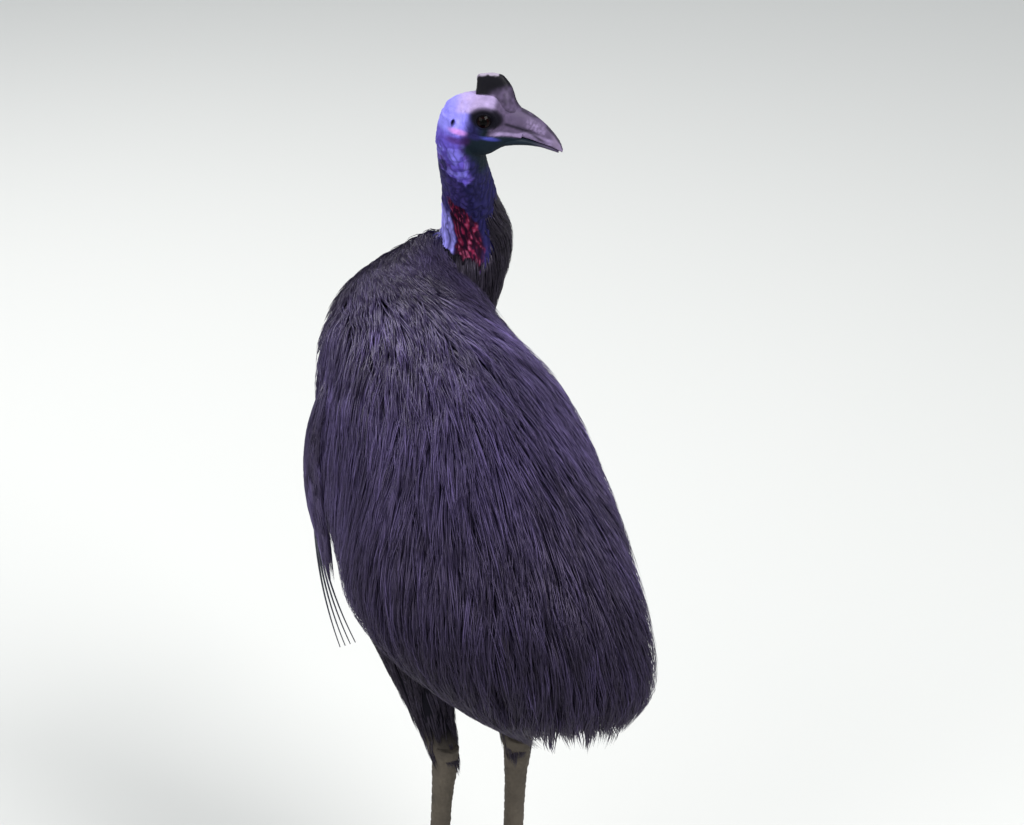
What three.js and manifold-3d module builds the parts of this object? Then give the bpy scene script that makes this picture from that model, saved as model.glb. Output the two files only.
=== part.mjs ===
// A dwarf cassowary, life size, in millimetres: it stands on both feet and looks back over its
// right shoulder. +x is the bird's left, -y the way its body faces, +z up, and the soles are at z = 0.
// Coordinates are written (side, fore, up): side is to the bird's left, fore is ahead of the legs.
import * as THREE from "three";
import { mergeVertices } from "three/addons/utils/BufferGeometryUtils.js";
import Module from "manifold-3d";

const wasm = await Module();
wasm.setup();

// Driving sizes
const GAP = 0.35; // left between touching pieces
const BODY_TRIM = 0.45; // the gap where a feathered piece lies on the trunk
const DEG = Math.PI / 180;

// The trunk out to the tips of its plumage, in rings from the neck's root to the hanging rump
// feathers: side, fore, up, pitch of the way to the tail, half width, reach above, reach below,
// fullness of the lower flank, coat depth
const TRUNK = [
  [-38, 191, 813, 94, 47, 33, 46, 0.0, 26],
  [-10, 189, 783, 72, 81, 58, 73, 0.0, 30],
  [3, 157, 731, 48, 112, 97, 118, 0.1, 34],
  [2, 90, 689, 32, 130, 119, 160, 0.3, 38],
  [-3, 0, 646, 25, 153, 143, 190, 0.5, 42],
  [-1, -105, 598, 26, 163, 150, 180, 0.4, 46],
  [6, -200, 545, 38, 173, 137, 120, 0.2, 54],
  [-12, -266, 480, 60, 159, 108, 85, 0.1, 60],
  [-46, -294, 417, 78, 122, 84, 60, 0.0, 62],
  [-58, -301, 378, 84, 73, 56, 40, 0.0, 40],
];
const TRUNK_END = TRUNK.length - 1;
const TAIL_START = 6.4; // ring place where the tail parts from the torso

// The neck out to its skin and feathers, from inside the breast to the skull:
// side, fore, up, half width, half depth, yaw of its front to the bird's right
const NECK = [
  [-42, 184, 692, 60, 62, 40],
  [-72, 192, 752, 52, 54, 62],
  [-97, 190, 822, 43, 48, 85],
  [-86, 172, 876, 34, 37, 98],
  [-73, 150, 917, 30, 31.5, 104],
  [-59.4, 127, 958, 28, 29.5, 107],
  [-50, 110.6, 997, 25.5, 26.5, 107],
  [-50, 105, 1024, 20.5, 22, 107],
];
const NECK_CUTS = { collar: 3.35, head: 6.35 }; // ring places where the neck is parted

// The head's own frame: origin between the eyes, f to the bill tip, s to its left, u up
const HEAD = { side: -80, fore: 104.5, up: 1018.5, yaw: 107, pitch: 16.5 };
// f, top, bottom, half width
const SKULL = [
  [-52, -20, -34, 6],
  [-49.8, -7, -45, 14],
  [-43.6, 7, -53, 23],
  [-30, 18.5, -54, 29],
  [-14, 26.5, -52, 30],
  [4, 31, -52, 28],
  [20, 28, -46, 22],
  [35, 21.5, -32, 16.5],
  [52, 14, -24, 12],
];
const BILL_BACK = 37; // f of the plane where the horn of the bill starts
const BILL_UPPER = [
  [30, 24.5, -16, 15.5],
  [44, 21, -13.8, 14],
  [58, 17.5, -13.2, 12],
  [75, 10.5, -14.5, 9.5],
  [91, 0.4, -16, 7],
  [101, -8.4, -18.4, 4.2],
  [106.5, -16, -19.8, 1.4],
];
const BILL_LOWER = [
  [20, -17, -36, 14],
  [38, -13.8, -29.5, 13],
  [50, -13, -25, 11.5],
  [62, -13, -21.8, 10],
  [78, -14.6, -19.8, 7.6],
  [90, -15.8, -20.4, 5.2],
  [99, -18.2, -21.2, 2.4],
];
// f, top, bottom, half width at the foot of the helmet
const CASQUE = [
  [-21, 39, 18, 8],
  [-19.8, 48, 18, 12],
  [-10, 52.5, 18, 15],
  [-1, 55, 18, 16.5],
  [8, 55.5, 18, 16.5],
  [16, 51, 18, 16],
  [24.5, 43.5, 17, 14.5],
  [33.5, 30, 15, 12],
  [41.5, 22.5, 13, 9],
];
const EYE = { f: 0, s: 20, u: 0, radius: 11.5 };
const LID = { s: 27, radius: 11, thick: 2.6, oval: 1.3, tilt: 8 };
const EAR = { f: -35.5, u: -12, s: 27.5, halfWide: 2.6, halfTall: 4.6, deep: 7, oval: 0.65 };
const GAPE = [[7, -19.5], [18, -17.5], [28, -15.3], [40, -14]]; // f, u along the line of the mouth
const NOSTRIL = { f: 64, u: -3, s: 11, halfLong: 6, halfTall: 2.2, deep: 3.2 };

// One leg, mirrored for the other: side, fore, up, half width, half depth
const DRUMSTICK = [
  [82, 60, 590, 50, 84],
  [78, 16, 510, 54, 80],
  [70, -36, 436, 48, 64],
  [59, -82, 370, 36, 45],
  [50, -120, 312, 24, 29],
  [46, -138, 280, 18, 22],
];
const SHANK = [
  [46, -142, 300, 15, 19],
  [46, -137, 274, 15.5, 18.5],
  [47, -127, 222, 12.5, 14.5],
  [48, -115, 140, 12, 13.5],
  [49, -105, 72, 13.5, 15],
  [49, -99, 36, 17, 19],
  [49, -97, 22, 18, 20],
];
const SHANK_SCUTES = 11;
// yaw outwards, length to the claw, half width at root and end, claw length, count of scutes
const TOES = {
  inner: { yaw: -17, reach: 64, root: 13.5, end: 10.5, claw: 70, scutes: 4 },
  middle: { yaw: 4, reach: 118, root: 15, end: 10.5, claw: 34, scutes: 7 },
  outer: { yaw: 33, reach: 84, root: 13, end: 9.5, claw: 27, scutes: 5 },
};
const TOE_ROOT = { side: 49, fore: -98 };
const SOLE = 2.2; // how much of the round underside of each toe is flat on the floor

// The left wing, from the shoulder down the flank: side, fore, up, half thickness, half width
const WING = [
  [104, 116, 712, 9, 16],
  [127, 94, 678, 11, 29],
  [149, 62, 634, 13, 33],
  [161, 26, 584, 11, 29],
  [161, -12, 530, 7, 17],
];
const QUILL = { count: 4, length: 190, radius: 3, spread: 11, splay: 2, inward: 30 };

// Locks of the plumage: count of rows, where the first and last row stand on what they grow from,
// spacing around it, length, width and thickness. Roots lie under the core, tips at the true outline.
const TORSO_LOCKS = { rows: 6, from: 0.5, to: 6.0, spacing: 114, length: 208, width: 105, thick: 8 };
const TAIL_LOCKS = { rows: 2, from: 7.0, to: 7.7, spacing: 122, length: 140, width: 86, thick: 8 };
const NECK_LOCKS = { rows: 3, from: 3.1, to: 1.4, spacing: 58, length: 118, width: 56, thick: 6 };
const THIGH_LOCKS = { rows: 2, from: 2.3, to: 3.4, spacing: 78, length: 115, width: 66, thick: 6 };
const WING_LOCKS = { rows: 2, from: 0.7, to: 2.1, spacing: 60, length: 100, width: 36, thick: 5 };
const LOCK_STRAY = 0.12; // how far a lock may turn off the lie, in radians
const ROOT_DEPTH = -0.6; // how far out a lock's root is, where 0 is the core and 1 the tips
const FOLD = 0.01; // the most of a lock, in cubic millimetres, that may stick out of its grown form
const SEED = 7;
const COMB = new THREE.Vector3(0, 1, -1); // the plumage lies to the tail and down in equal parts

const at = (side, fore, up) => new THREE.Vector3(side, -fore, up);

// Rows of numbers as a smooth curve through them; u runs from 0 to the last row.
function through(rows) {
  const last = rows.length - 1;
  return (u) => {
    const c = Math.min(Math.max(u, 0), last - 1e-9);
    const i = Math.floor(c);
    const f = c - i;
    const row = (k) => rows[Math.min(Math.max(k, 0), last)];
    return rows[0].map((_, k) => {
      const p1 = rows[i][k];
      const p2 = row(i + 1)[k];
      const p0 = i > 0 ? rows[i - 1][k] : 2 * p1 - p2;
      const p3 = i < last - 1 ? rows[i + 2][k] : 2 * p2 - p1;
      return 0.5 * (2 * p1 + (p2 - p0) * f + (2 * p0 - 5 * p1 + 4 * p2 - p3) * f * f
        + (3 * p1 - p0 - 3 * p2 + p3) * f * f * f);
    });
  };
}

// The same draws each time, from 0 to 1.
let drawn = SEED;
function draw() {
  drawn = (drawn * 48271) % 2147483647;
  return (drawn % 100000) / 100000;
}
const vary = (share) => 1 + share * (2 * draw() - 1);

// Solids and meshes
function signedVolume(points, index) {
  let sum = 0;
  for (let i = 0; i < index.length; i += 3) {
    const [a, b, c] = [points[index[i]], points[index[i + 1]], points[index[i + 2]]];
    sum += a.dot(new THREE.Vector3().crossVectors(b, c));
  }
  return sum / 6;
}

function geometryOf(points, index) {
  const facesOut = signedVolume(points, index) > 0;
  const order = facesOut ? index : index.slice().reverse();
  return new THREE.BufferGeometry().setFromPoints(points).setIndex(order);
}

function solidOf(geometry) {
  const bare = new THREE.BufferGeometry().setAttribute("position", geometry.getAttribute("position"));
  if (geometry.index) bare.setIndex(geometry.index);
  const merged = mergeVertices(bare, 1e-4);
  return new wasm.Manifold(new wasm.Mesh({
    numProp: 3,
    vertProperties: new Float32Array(merged.attributes.position.array),
    triVerts: new Uint32Array(merged.index.array),
  }));
}

// A closed body from rings of points: ring(v) gives the points of the ring at v from 0 to 1.
function ringSolid(steps, ring, tip = false) {
  const points = [];
  const index = [];
  const rings = Array.from({ length: steps + 1 }, (_, i) => ring(i / steps));
  const sides = rings[0].length;
  const middle = (r) => r.reduce((sum, p) => sum.add(p), new THREE.Vector3()).divideScalar(sides);
  const body = tip ? rings.slice(0, -1) : rings;
  for (const r of body) points.push(...r);
  for (let i = 0; i < body.length - 1; i++)
    for (let j = 0; j < sides; j++) {
      const [a, b] = [i * sides + j, i * sides + ((j + 1) % sides)];
      index.push(a, b, a + sides, b, b + sides, a + sides);
    }
  const first = points.push(middle(rings[0])) - 1;
  const last = points.push(middle(rings[steps])) - 1;
  const end = (body.length - 1) * sides;
  for (let j = 0; j < sides; j++) {
    const k = (j + 1) % sides;
    index.push(first, k, j, last, end + j, end + k);
  }
  return solidOf(geometryOf(points, index));
}

const union = (solids) => wasm.Manifold.union(solids);

function largest(solid) {
  return solid.decompose().reduce((best, s) => (s.volume() > best.volume() ? s : best));
}

// A flat, tapered lock: place(v) is its middle line from root to tip, and out(v) the way off the body.
// Grown, it is the room that the lock takes up with the gap round it.
const LOCK_RINGS = [0, 0.3, 0.62, 0.86, 1];
const LOCK_TAPER = [0.7, 1, 0.82, 0.5, 0];
function lockSolid(place, out, width, thick, grow = 0) {
  return ringSolid(LOCK_RINGS.length - 1, (w) => {
    const i = Math.round(w * (LOCK_RINGS.length - 1));
    const v = LOCK_RINGS[i];
    const here = place(v);
    const way = place(Math.min(1, v + 0.05)).sub(place(Math.max(0, v - 0.05))).normalize();
    const across = new THREE.Vector3().crossVectors(way, out(v)).normalize();
    const up = new THREE.Vector3().crossVectors(across, way);
    const tall = thick * (0.35 + 0.65 * LOCK_TAPER[i]);
    const half = (width / 2) * LOCK_TAPER[i] + 1.5 * grow;
    const [low, high] = [-0.3 * tall - grow, 0.7 * tall + 2 * grow];
    const shoulder = low + 2.4 * grow;
    const edge = grow ? [[half, shoulder], [0, high], [-half, shoulder]] : [[0, high]];
    if (i === LOCK_RINGS.length - 1) here.addScaledVector(way, 4 * grow);
    return [[-half, low], [half, low], ...edge]
      .map(([x, y]) => here.clone().addScaledVector(across, x).addScaledVector(up, y));
  }, true);
}

// The course of a lock over a surface: spot(a, b, out) is a point of it, and turn(a, b) its heading
// off the a direction, taken half way down. Gives the middle line and the way out for v from 0 to 1.
const COURSE_STEPS = 8;
function course(spot, turn, a, b, length, lastA) {
  const d = 0.02;
  const onward = (p, q, angle, way) => {
    const perA = spot(p + d, q, 1).distanceTo(spot(p - d, q, 1)) / (2 * d);
    const perB = spot(p, q + d, 1).distanceTo(spot(p, q - d, 1)) / (2 * d);
    return [p + (Math.cos(angle) * way) / perA, q + (Math.sin(angle) * way) / perB];
  };
  const heading = turn(...onward(a, b, turn(a, b), length / 2));
  const marks = [[a, b]];
  while (marks.length <= COURSE_STEPS && marks[marks.length - 1][0] < lastA)
    marks.push(onward(...marks[marks.length - 1], heading, length / COURSE_STEPS));
  const mark = through(marks);
  const last = marks.length - 1;
  const rise = (v) => ROOT_DEPTH + (1 - ROOT_DEPTH) * Math.sin((v * Math.PI) / 2);
  const place = (v) => spot(...mark(v * last), rise(v));
  const out = (v) => spot(...mark(v * last), 3).sub(spot(...mark(v * last), -1));
  return [place, out];
}

// A lock that would fold on itself at its full length is made shorter.
function lockOn(makeCourse, length, width, thick) {
  const tries = [1, 0.8, 0.62, 0.45].map((share) => {
    const [place, out] = makeCourse(length * share);
    return (grow) => lockSolid(place, out, width * (0.4 + 0.6 * share), thick, grow);
  });
  const flat = tries.find((lock) => lock(0).subtract(lock(BODY_TRIM)).volume() < FOLD);
  return flat ?? tries[tries.length - 1];
}

// The half space on the far side of a plane, as a large box.
function beyond(point, normal, size = 900) {
  const box = new THREE.BoxGeometry(size, size, size).translate(0, 0, size / 2);
  const way = normal.clone().normalize();
  const turn = new THREE.Quaternion().setFromUnitVectors(new THREE.Vector3(0, 0, 1), way);
  return solidOf(box.applyQuaternion(turn).translate(point.x, point.y, point.z));
}

// Trunk
const trunkRow = through(TRUNK);

// A point of the plumage: along the trunk, around it from the spine to the bird's left, and out from
// half the coat's depth (0) to the feather tips (1).
function coat(along, around, out, grow = 0) {
  const [side, fore, up, pitch, wide, above, below, full, depth] = trunkRow(along);
  const inset = (depth / 2) * (1 - out) - grow;
  const c = Math.cos(around);
  const s = Math.sin(around);
  const low = c < 0 ? 1 - 0.7 * full * c * s * s : 1;
  const rise = ((c >= 0 ? above : below) - inset) * c;
  const reach = (wide - inset) * s * low;
  return at(side + reach, fore - rise * Math.sin(pitch * DEG), up + rise * Math.cos(pitch * DEG));
}

function trunkPlain(from, to, out, grow = 0, sides = 32, fineness = 4) {
  const steps = Math.round((to - from) * fineness);
  return ringSolid(steps, (v) => Array.from({ length: sides }, (_, j) =>
    coat(from + (to - from) * v, (j / sides) * 2 * Math.PI, out, grow)));
}

// The way the plumage lies: a heading off the line to the tail, in radians, that follows the comb
// over the body's curve.
function lie(along, around) {
  const d = 0.02;
  const toTail = coat(along + d, around, 1).sub(coat(along - d, around, 1)).normalize();
  const toSide = coat(along, around + d, 1).sub(coat(along, around - d, 1)).normalize();
  const skew = toTail.dot(toSide);
  const [tailward, sideward] = [COMB.dot(toTail), COMB.dot(toSide)];
  return Math.atan2(sideward - skew * tailward, tailward - skew * sideward);
}

// Locks on the trunk in staggered rows; each is a function of how much it is grown all round.
function trunkLocks({ rows, from, to, spacing, length, width, thick }) {
  const locks = [];
  for (let row = 0; row < rows; row++) {
    const along = from + ((to - from) * row) / (rows - 1);
    const [, , , , wide, above, below] = trunkRow(along);
    const count = Math.round((Math.PI * (wide + (above + below) / 2)) / spacing);
    for (let k = 0; k < count; k++) {
      const around = ((k + (row % 2) / 2 + 0.3 * draw()) / count) * 2 * Math.PI;
      const stray = LOCK_STRAY * (2 * draw() - 1);
      const turn = (a, b) => lie(a, b) + stray;
      const root = along + 0.12 * (draw() - 0.5);
      const way = (reach) => course(coat, turn, root, around, reach, TRUNK_END - 0.2);
      locks.push(lockOn(way, length * vary(0.15), width * vary(0.12), thick));
    }
  }
  return locks;
}
const trunkMiddle = (along) => coat(along, 0, 1).add(coat(along, Math.PI, 1)).multiplyScalar(0.5);

// Neck
const neckRow = through(NECK);

function neckFrame(u) {
  const row = neckRow(u);
  const here = at(...row);
  const tangent = at(...neckRow(u + 0.02)).sub(at(...neckRow(u - 0.02))).normalize();
  const yaw = row[5] * DEG;
  const front = at(-Math.sin(yaw), Math.cos(yaw), 0);
  front.addScaledVector(tangent, -front.dot(tangent)).normalize();
  const left = new THREE.Vector3().crossVectors(tangent, front);
  return { here, tangent, front, left, wide: row[3], deep: row[4] };
}

// A point of the neck, grow outside its skin or feathers: around runs from the front to its left.
function neckPoint(u, around, grow = 0) {
  const { here, front, left, wide, deep } = neckFrame(u);
  return here.clone()
    .addScaledVector(front, (deep + grow) * Math.cos(around))
    .addScaledVector(left, (wide + grow) * Math.sin(around));
}

function neckPlain(from, to, sides) {
  const steps = Math.max(2, Math.round((to - from) * 2));
  return ringSolid(steps, (v) => Array.from({ length: sides }, (_, j) =>
    neckPoint(from + (to - from) * v, (j / sides) * 2 * Math.PI)));
}

// The depth of the feathers in front and low down; behind, the lower neck is bare.
function neckCoat(u, around) {
  const front = Math.max(0, Math.cos(around) + 0.35) / 1.35;
  const low = Math.min(1, Math.max(0, 1.4 - u));
  return 18 * Math.min(1, front + low);
}

const neckSpot = (u, around, out) => neckPoint(u, around, -0.5 * neckCoat(u, around) * (1 - out));

function neckCore(from, to, sides) {
  return ringSolid(6, (v) => Array.from({ length: sides }, (_, j) =>
    neckSpot(from + (to - from) * v, (j / sides) * 2 * Math.PI, 0)));
}

// Locks down the front and sides of the lower neck.
function frontLocks({ rows, from, to, spacing, length, width, thick }) {
  const locks = [];
  for (let row = 0; row < rows; row++) {
    const u = from + ((to - from) * row) / (rows - 1);
    const { wide, deep } = neckFrame(u);
    const sweep = u > 1.4 ? 0.62 * Math.PI : 0.95 * Math.PI;
    const count = Math.round((sweep * (wide + deep)) / spacing);
    for (let k = 0; k < count; k++) {
      const around = sweep * (((k + 0.5 + 0.4 * (draw() - 0.5)) / count) * 2 - 1);
      const swing = 0.3 * (draw() - 0.5);
      const spot = (down, b, out) => neckSpot(-down, b, out);
      const way = (reach) => course(spot, () => swing, -u, around, reach, -0.3);
      locks.push(lockOn(way, length * vary(0.12), width * vary(0.12), thick));
    }
  }
  return locks;
}

function neckBeyond(u, shift) {
  const { here, tangent } = neckFrame(u);
  return beyond(here.clone().addScaledVector(tangent, shift), tangent, 500);
}

// Head
const headForward = at(-Math.sin(HEAD.yaw * DEG), Math.cos(HEAD.yaw * DEG), 0)
  .multiplyScalar(Math.cos(HEAD.pitch * DEG)).add(new THREE.Vector3(0, 0, -Math.sin(HEAD.pitch * DEG)));
const headUp = at(-Math.sin(HEAD.yaw * DEG), Math.cos(HEAD.yaw * DEG), 0)
  .multiplyScalar(Math.sin(HEAD.pitch * DEG)).add(new THREE.Vector3(0, 0, Math.cos(HEAD.pitch * DEG)));
const headLeft = new THREE.Vector3().crossVectors(headUp, headForward);
const headOrigin = at(HEAD.side, HEAD.fore, HEAD.up);
const headAt = (f, s, u) => headOrigin.clone()
  .addScaledVector(headForward, f).addScaledVector(headLeft, s).addScaledVector(headUp, u);
const headTurn = new THREE.Matrix4().makeBasis(headForward, headLeft, headUp).setPosition(headOrigin);

// A body of rings across the head's f axis; squareness under 1 gives fuller corners.
function headLoft(rows, steps, sides, square, grow = 0) {
  const row = through(rows);
  return ringSolid(steps, (v) => {
    const [f, top, bottom, wide] = row(v * (rows.length - 1));
    const [mid, tall] = [(top + bottom) / 2, (top - bottom) / 2 + grow];
    return Array.from({ length: sides }, (_, j) => {
      const a = (j / sides) * 2 * Math.PI;
      const power = (x) => Math.sign(x) * Math.abs(x) ** square;
      return headAt(f, (wide + grow) * power(Math.sin(a)), mid + tall * power(Math.cos(a)));
    });
  });
}

const headBeyond = (f, way) => beyond(headAt(f, 0, 0), headForward.clone().multiplyScalar(way), 400);

function ball(f, s, u, radius, rx = 1, ry = 1, rz = 1, across = 20, down = 14) {
  const g = new THREE.SphereGeometry(radius, across, down).scale(rx, ry, rz).translate(f, s, u);
  return solidOf(g.applyMatrix4(headTurn));
}

// A closed ring on the side of the head, such as a lid or the rim of the ear: oval is its length
// over its height, and stand is how far it stands off the head's mid plane.
function headRing(f, s, u, radius, thick, oval, tilt, around = 12) {
  const g = new THREE.TorusGeometry(radius, thick, 4, around).scale(oval, 1, 1).rotateZ(tilt * DEG);
  g.rotateX(Math.PI / 2).translate(f, s, u);
  return solidOf(g.applyMatrix4(headTurn));
}

// The line of the mouth behind the horn of the bill: a groove in both cheeks.
function mouthGroove(m) {
  const line = through(GAPE);
  return ringSolid(4, (v) => {
    const [f, u] = line(v * (GAPE.length - 1));
    const half = 0.7;
    const [near, far] = [12, 34];
    return [headAt(f, m * near, u - half), headAt(f, m * far, u - half),
      headAt(f, m * far, u + half), headAt(f, m * near, u + half)];
  });
}

function makeHead() {
  const skull = headLoft(SKULL, 9, 16, 0.9);
  const throat = neckPlain(NECK_CUTS.head, 7, 18);
  const sides = [1, -1];
  const lids = sides.map((m) =>
    headRing(EYE.f, m * LID.s, EYE.u, LID.radius, LID.thick, LID.oval, -m * LID.tilt));
  const rims = sides.map((m) => headRing(EAR.f, m * EAR.s, EAR.u, EAR.halfTall, 1.5, EAR.oval, 0, 10));
  const eyes = sides.map((m) => ball(EYE.f, m * EYE.s, EYE.u, EYE.radius + GAP, 1, 1, 1, 12, 8));
  const ears = sides.map((m) =>
    ball(EAR.f, m * (EAR.s + 2), EAR.u, 1, EAR.halfWide, EAR.deep, EAR.halfTall, 8, 5));
  return largest(union([skull, throat, ...lids, ...rims])
    .subtract(union([...eyes, ...ears, ...sides.map(mouthGroove), headBeyond(BILL_BACK - GAP, 1)])));
}

function makeCasque() {
  const rows = through(CASQUE);
  const helmet = ringSolid(8, (v) => {
    const [f, top, bottom, wide] = rows(v * (CASQUE.length - 1));
    const tall = top - bottom;
    const left = [[0.28, 0.9], [0.62, 0.62], [1, 0.25], [1.05, 0]];
    const right = left.map(([s, u]) => [-s, u]).reverse();
    return [[0, 1], ...left, ...right].map(([s, u]) => headAt(f, s * wide, bottom + u * tall));
  });
  return largest(helmet.subtract(union([headLoft(SKULL, 9, 16, 0.9, GAP), headBeyond(BILL_BACK - GAP, 1)])));
}

function makeBill() {
  const upper = headLoft(BILL_UPPER, 9, 12, 0.85);
  const lower = headLoft(BILL_LOWER, 7, 10, 0.85);
  const behind = headBeyond(BILL_BACK, -1);
  const nostrils = [1, -1].map((m) => ball(NOSTRIL.f, m * NOSTRIL.s, NOSTRIL.u, 1,
    NOSTRIL.halfLong, NOSTRIL.deep, NOSTRIL.halfTall, 10, 6));
  return {
    upper: largest(upper.subtract(union([behind, ...nostrils]))),
    lower: largest(lower.subtract(union([behind, headLoft(BILL_UPPER, 9, 12, 0.85, GAP)]))),
  };
}

// Legs
function limb(rows, steps, sides, grow = 0) {
  const row = through(rows);
  const last = rows.length - 1;
  return ringSolid(steps, (v) => {
    const u = v * last;
    const here = row(u);
    const tangent = at(...row(u + 0.02)).sub(at(...row(u - 0.02))).normalize();
    const side = new THREE.Vector3(1, 0, 0).addScaledVector(tangent, -tangent.x).normalize();
    const front = new THREE.Vector3().crossVectors(tangent, side);
    return Array.from({ length: sides }, (_, j) => {
      const a = (j / sides) * 2 * Math.PI;
      const more = typeof grow === "function" ? grow(v) : grow;
      return at(...here).addScaledVector(front, (here[4] + more) * Math.cos(a))
        .addScaledVector(side, (here[3] + more) * Math.sin(a));
    });
  });
}

// Locks down a limb, in staggered rows; its rows give the outline of their tips.
function limbLocks(rows, { rows: tiers, from, to, spacing, length, width, thick }, coatDepth, centre, sweep) {
  const row = through(rows);
  const last = rows.length - 1;
  const spot = (u, around, out) => {
    const here = row(u);
    const tangent = at(...row(u + 0.02)).sub(at(...row(u - 0.02))).normalize();
    const side = new THREE.Vector3(1, 0, 0).addScaledVector(tangent, -tangent.x).normalize();
    const front = new THREE.Vector3().crossVectors(tangent, side);
    const inset = (coatDepth / 2) * (1 - out);
    return at(...here).addScaledVector(front, (here[4] - inset) * Math.cos(around))
      .addScaledVector(side, (here[3] - inset) * Math.sin(around));
  };
  const locks = [];
  for (let tier = 0; tier < tiers; tier++) {
    const u = from + ((to - from) * tier) / (tiers - 1);
    const [, , , wide, deep] = row(u);
    const count = Math.max(2, Math.round((sweep * (wide + deep)) / spacing));
    for (let k = 0; k < count; k++) {
      const place01 = (k + (tier % 2) / 2 + 0.3 * draw()) / count;
      const around = centre + sweep * (2 * place01 - 1);
      const way = (reach) => course(spot, () => 0, u, around, reach, last - 0.3);
      locks.push(lockOn(way, length * vary(0.12), width * vary(0.12), thick));
    }
  }
  return locks;
}

// The bare quills that hang from the end of the wing and curve back along the flank.
function quills() {
  const [side, fore, up] = WING[WING.length - 2];
  const { count, length, radius, spread, splay, inward } = QUILL;
  return Array.from({ length: count }, (_, i) => {
    const back = (v) => spread * (1 - i) * 0.6 - (spread * i + splay) * v * v * 1.5;
    const place = (v) => at(side + 2 - inward * v * v, fore - 8 + back(v), up - 22 - (length - 12 * i) * v);
    return ringSolid(4, (v) => {
      const way = place(Math.min(1, v + 0.05)).sub(place(Math.max(0, v - 0.05))).normalize();
      const across = new THREE.Vector3(1, 0, 0).addScaledVector(way, -way.x).normalize();
      const other = new THREE.Vector3().crossVectors(way, across);
      const r = radius * (1 - 0.8 * v);
      return [0, 1, 2].map((j) => place(v).addScaledVector(across, r * Math.cos(j * 120 * DEG))
        .addScaledVector(other, r * Math.sin(j * 120 * DEG)));
    }, true);
  });
}

// The outline of a leg from the ankle to the toes; scutes are steps in the front of its surface.
function scuted(rows, count, sides, step, steps = 2) {
  const row = through(rows);
  const last = rows.length - 1;
  const edges = Array.from({ length: count * steps + 1 }, (_, i) => {
    const plate = Math.floor(i / steps);
    return { v: (plate + (i % steps ? 0.97 : 0.02)) / count, rise: i % steps ? step : 0 };
  });
  edges[edges.length - 1].v = 1;
  return ringSolid(edges.length - 1, (w) => {
    const { v, rise } = edges[Math.round(w * (edges.length - 1))];
    const here = row(v * last);
    const tangent = at(...row(v * last + 0.02)).sub(at(...row(v * last - 0.02))).normalize();
    const side = new THREE.Vector3(1, 0, 0).addScaledVector(tangent, -tangent.x).normalize();
    const front = new THREE.Vector3().crossVectors(tangent, side);
    return Array.from({ length: sides }, (_, j) => {
      const a = (j / sides) * 2 * Math.PI;
      const lift = rise * Math.max(0, Math.cos(a) + 0.25);
      return at(...here).addScaledVector(front, (here[4] + lift) * Math.cos(a))
        .addScaledVector(side, (here[3] + lift) * Math.sin(a));
    });
  });
}

const floor = beyond(new THREE.Vector3(0, 0, 0), new THREE.Vector3(0, 0, -1), 2400);

function toePath({ yaw, reach }) {
  const way = [Math.sin(yaw * DEG), Math.cos(yaw * DEG)];
  return (along, up) => [TOE_ROOT.side + way[0] * along * reach, TOE_ROOT.fore + way[1] * along * reach, up];
}

function toeRows(toe) {
  const place = toePath(toe);
  const pads = [
    [-0.12, 0.9, 0.95],
    [0.25, 1.02, 0.95],
    [0.6, 0.94, 0.76],
    [0.88, 0.8, 0.66],
    [1, 0.6, 0.52],
  ];
  return pads.map(([along, wide, deep]) =>
    [...place(along, toe.root * deep - SOLE), toe.root * wide, toe.root * deep]);
}

function clawSolid(toe) {
  const place = toePath(toe);
  const reach = toe.claw / toe.reach;
  const sides = 6;
  const heights = [[0.9, 9.5], [1 + reach * 0.35, 9], [1 + reach * 0.75, 6], [1 + reach, 3.5]];
  const path = through(heights.map(([along, up]) => place(along, up)));
  return ringSolid(4, (v) => {
    const here = at(...path(v * 3));
    const tangent = at(...path(v * 3 + 0.02)).sub(at(...path(v * 3 - 0.02))).normalize();
    const side = new THREE.Vector3(0, 0, 1).cross(tangent).normalize();
    const front = new THREE.Vector3().crossVectors(tangent, side);
    const radius = toe.end * 0.62 * (1 - v) ** 0.75;
    return Array.from({ length: sides }, (_, j) => {
      const a = (j / sides) * 2 * Math.PI;
      return here.clone().addScaledVector(front, radius * Math.cos(a))
        .addScaledVector(side, radius * 0.85 * Math.sin(a));
    });
  }, true);
}

// Where a solid touches itself, the points that meet there sink apart, each into its own surface.
const APART = 0.03;
function drawApart(geometry) {
  const [points, normals] = [geometry.getAttribute("position"), geometry.getAttribute("normal")];
  const point = (i) => new THREE.Vector3().fromBufferAttribute(points, i);
  const places = new Map();
  for (let i = 0; i < points.count; i++) {
    const key = point(i).toArray().map((x) => x.toFixed(3)).join();
    places.set(key, [...(places.get(key) ?? []), i]);
  }
  for (const same of places.values())
    if (same.length > 1)
      for (const i of same) {
        const normal = new THREE.Vector3().fromBufferAttribute(normals, i);
        points.setXYZ(i, ...point(i).addScaledVector(normal, -APART));
      }
}

const meshes = [];
function add(name, solid, look) {
  const m = solid.getMesh();
  const positions = new Float32Array(m.numVert * 3);
  for (let i = 0; i < m.numVert; i++)
    for (let k = 0; k < 3; k++) positions[i * 3 + k] = m.vertProperties[i * m.numProp + k];
  const g = new THREE.BufferGeometry().setAttribute("position", new THREE.BufferAttribute(positions, 3));
  g.setIndex(new THREE.BufferAttribute(new Uint32Array(m.triVerts), 1));
  g.computeVertexNormals();
  drawApart(g);
  const mesh = new THREE.Mesh(g, look);
  mesh.name = name;
  meshes.push(mesh);
}

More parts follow.
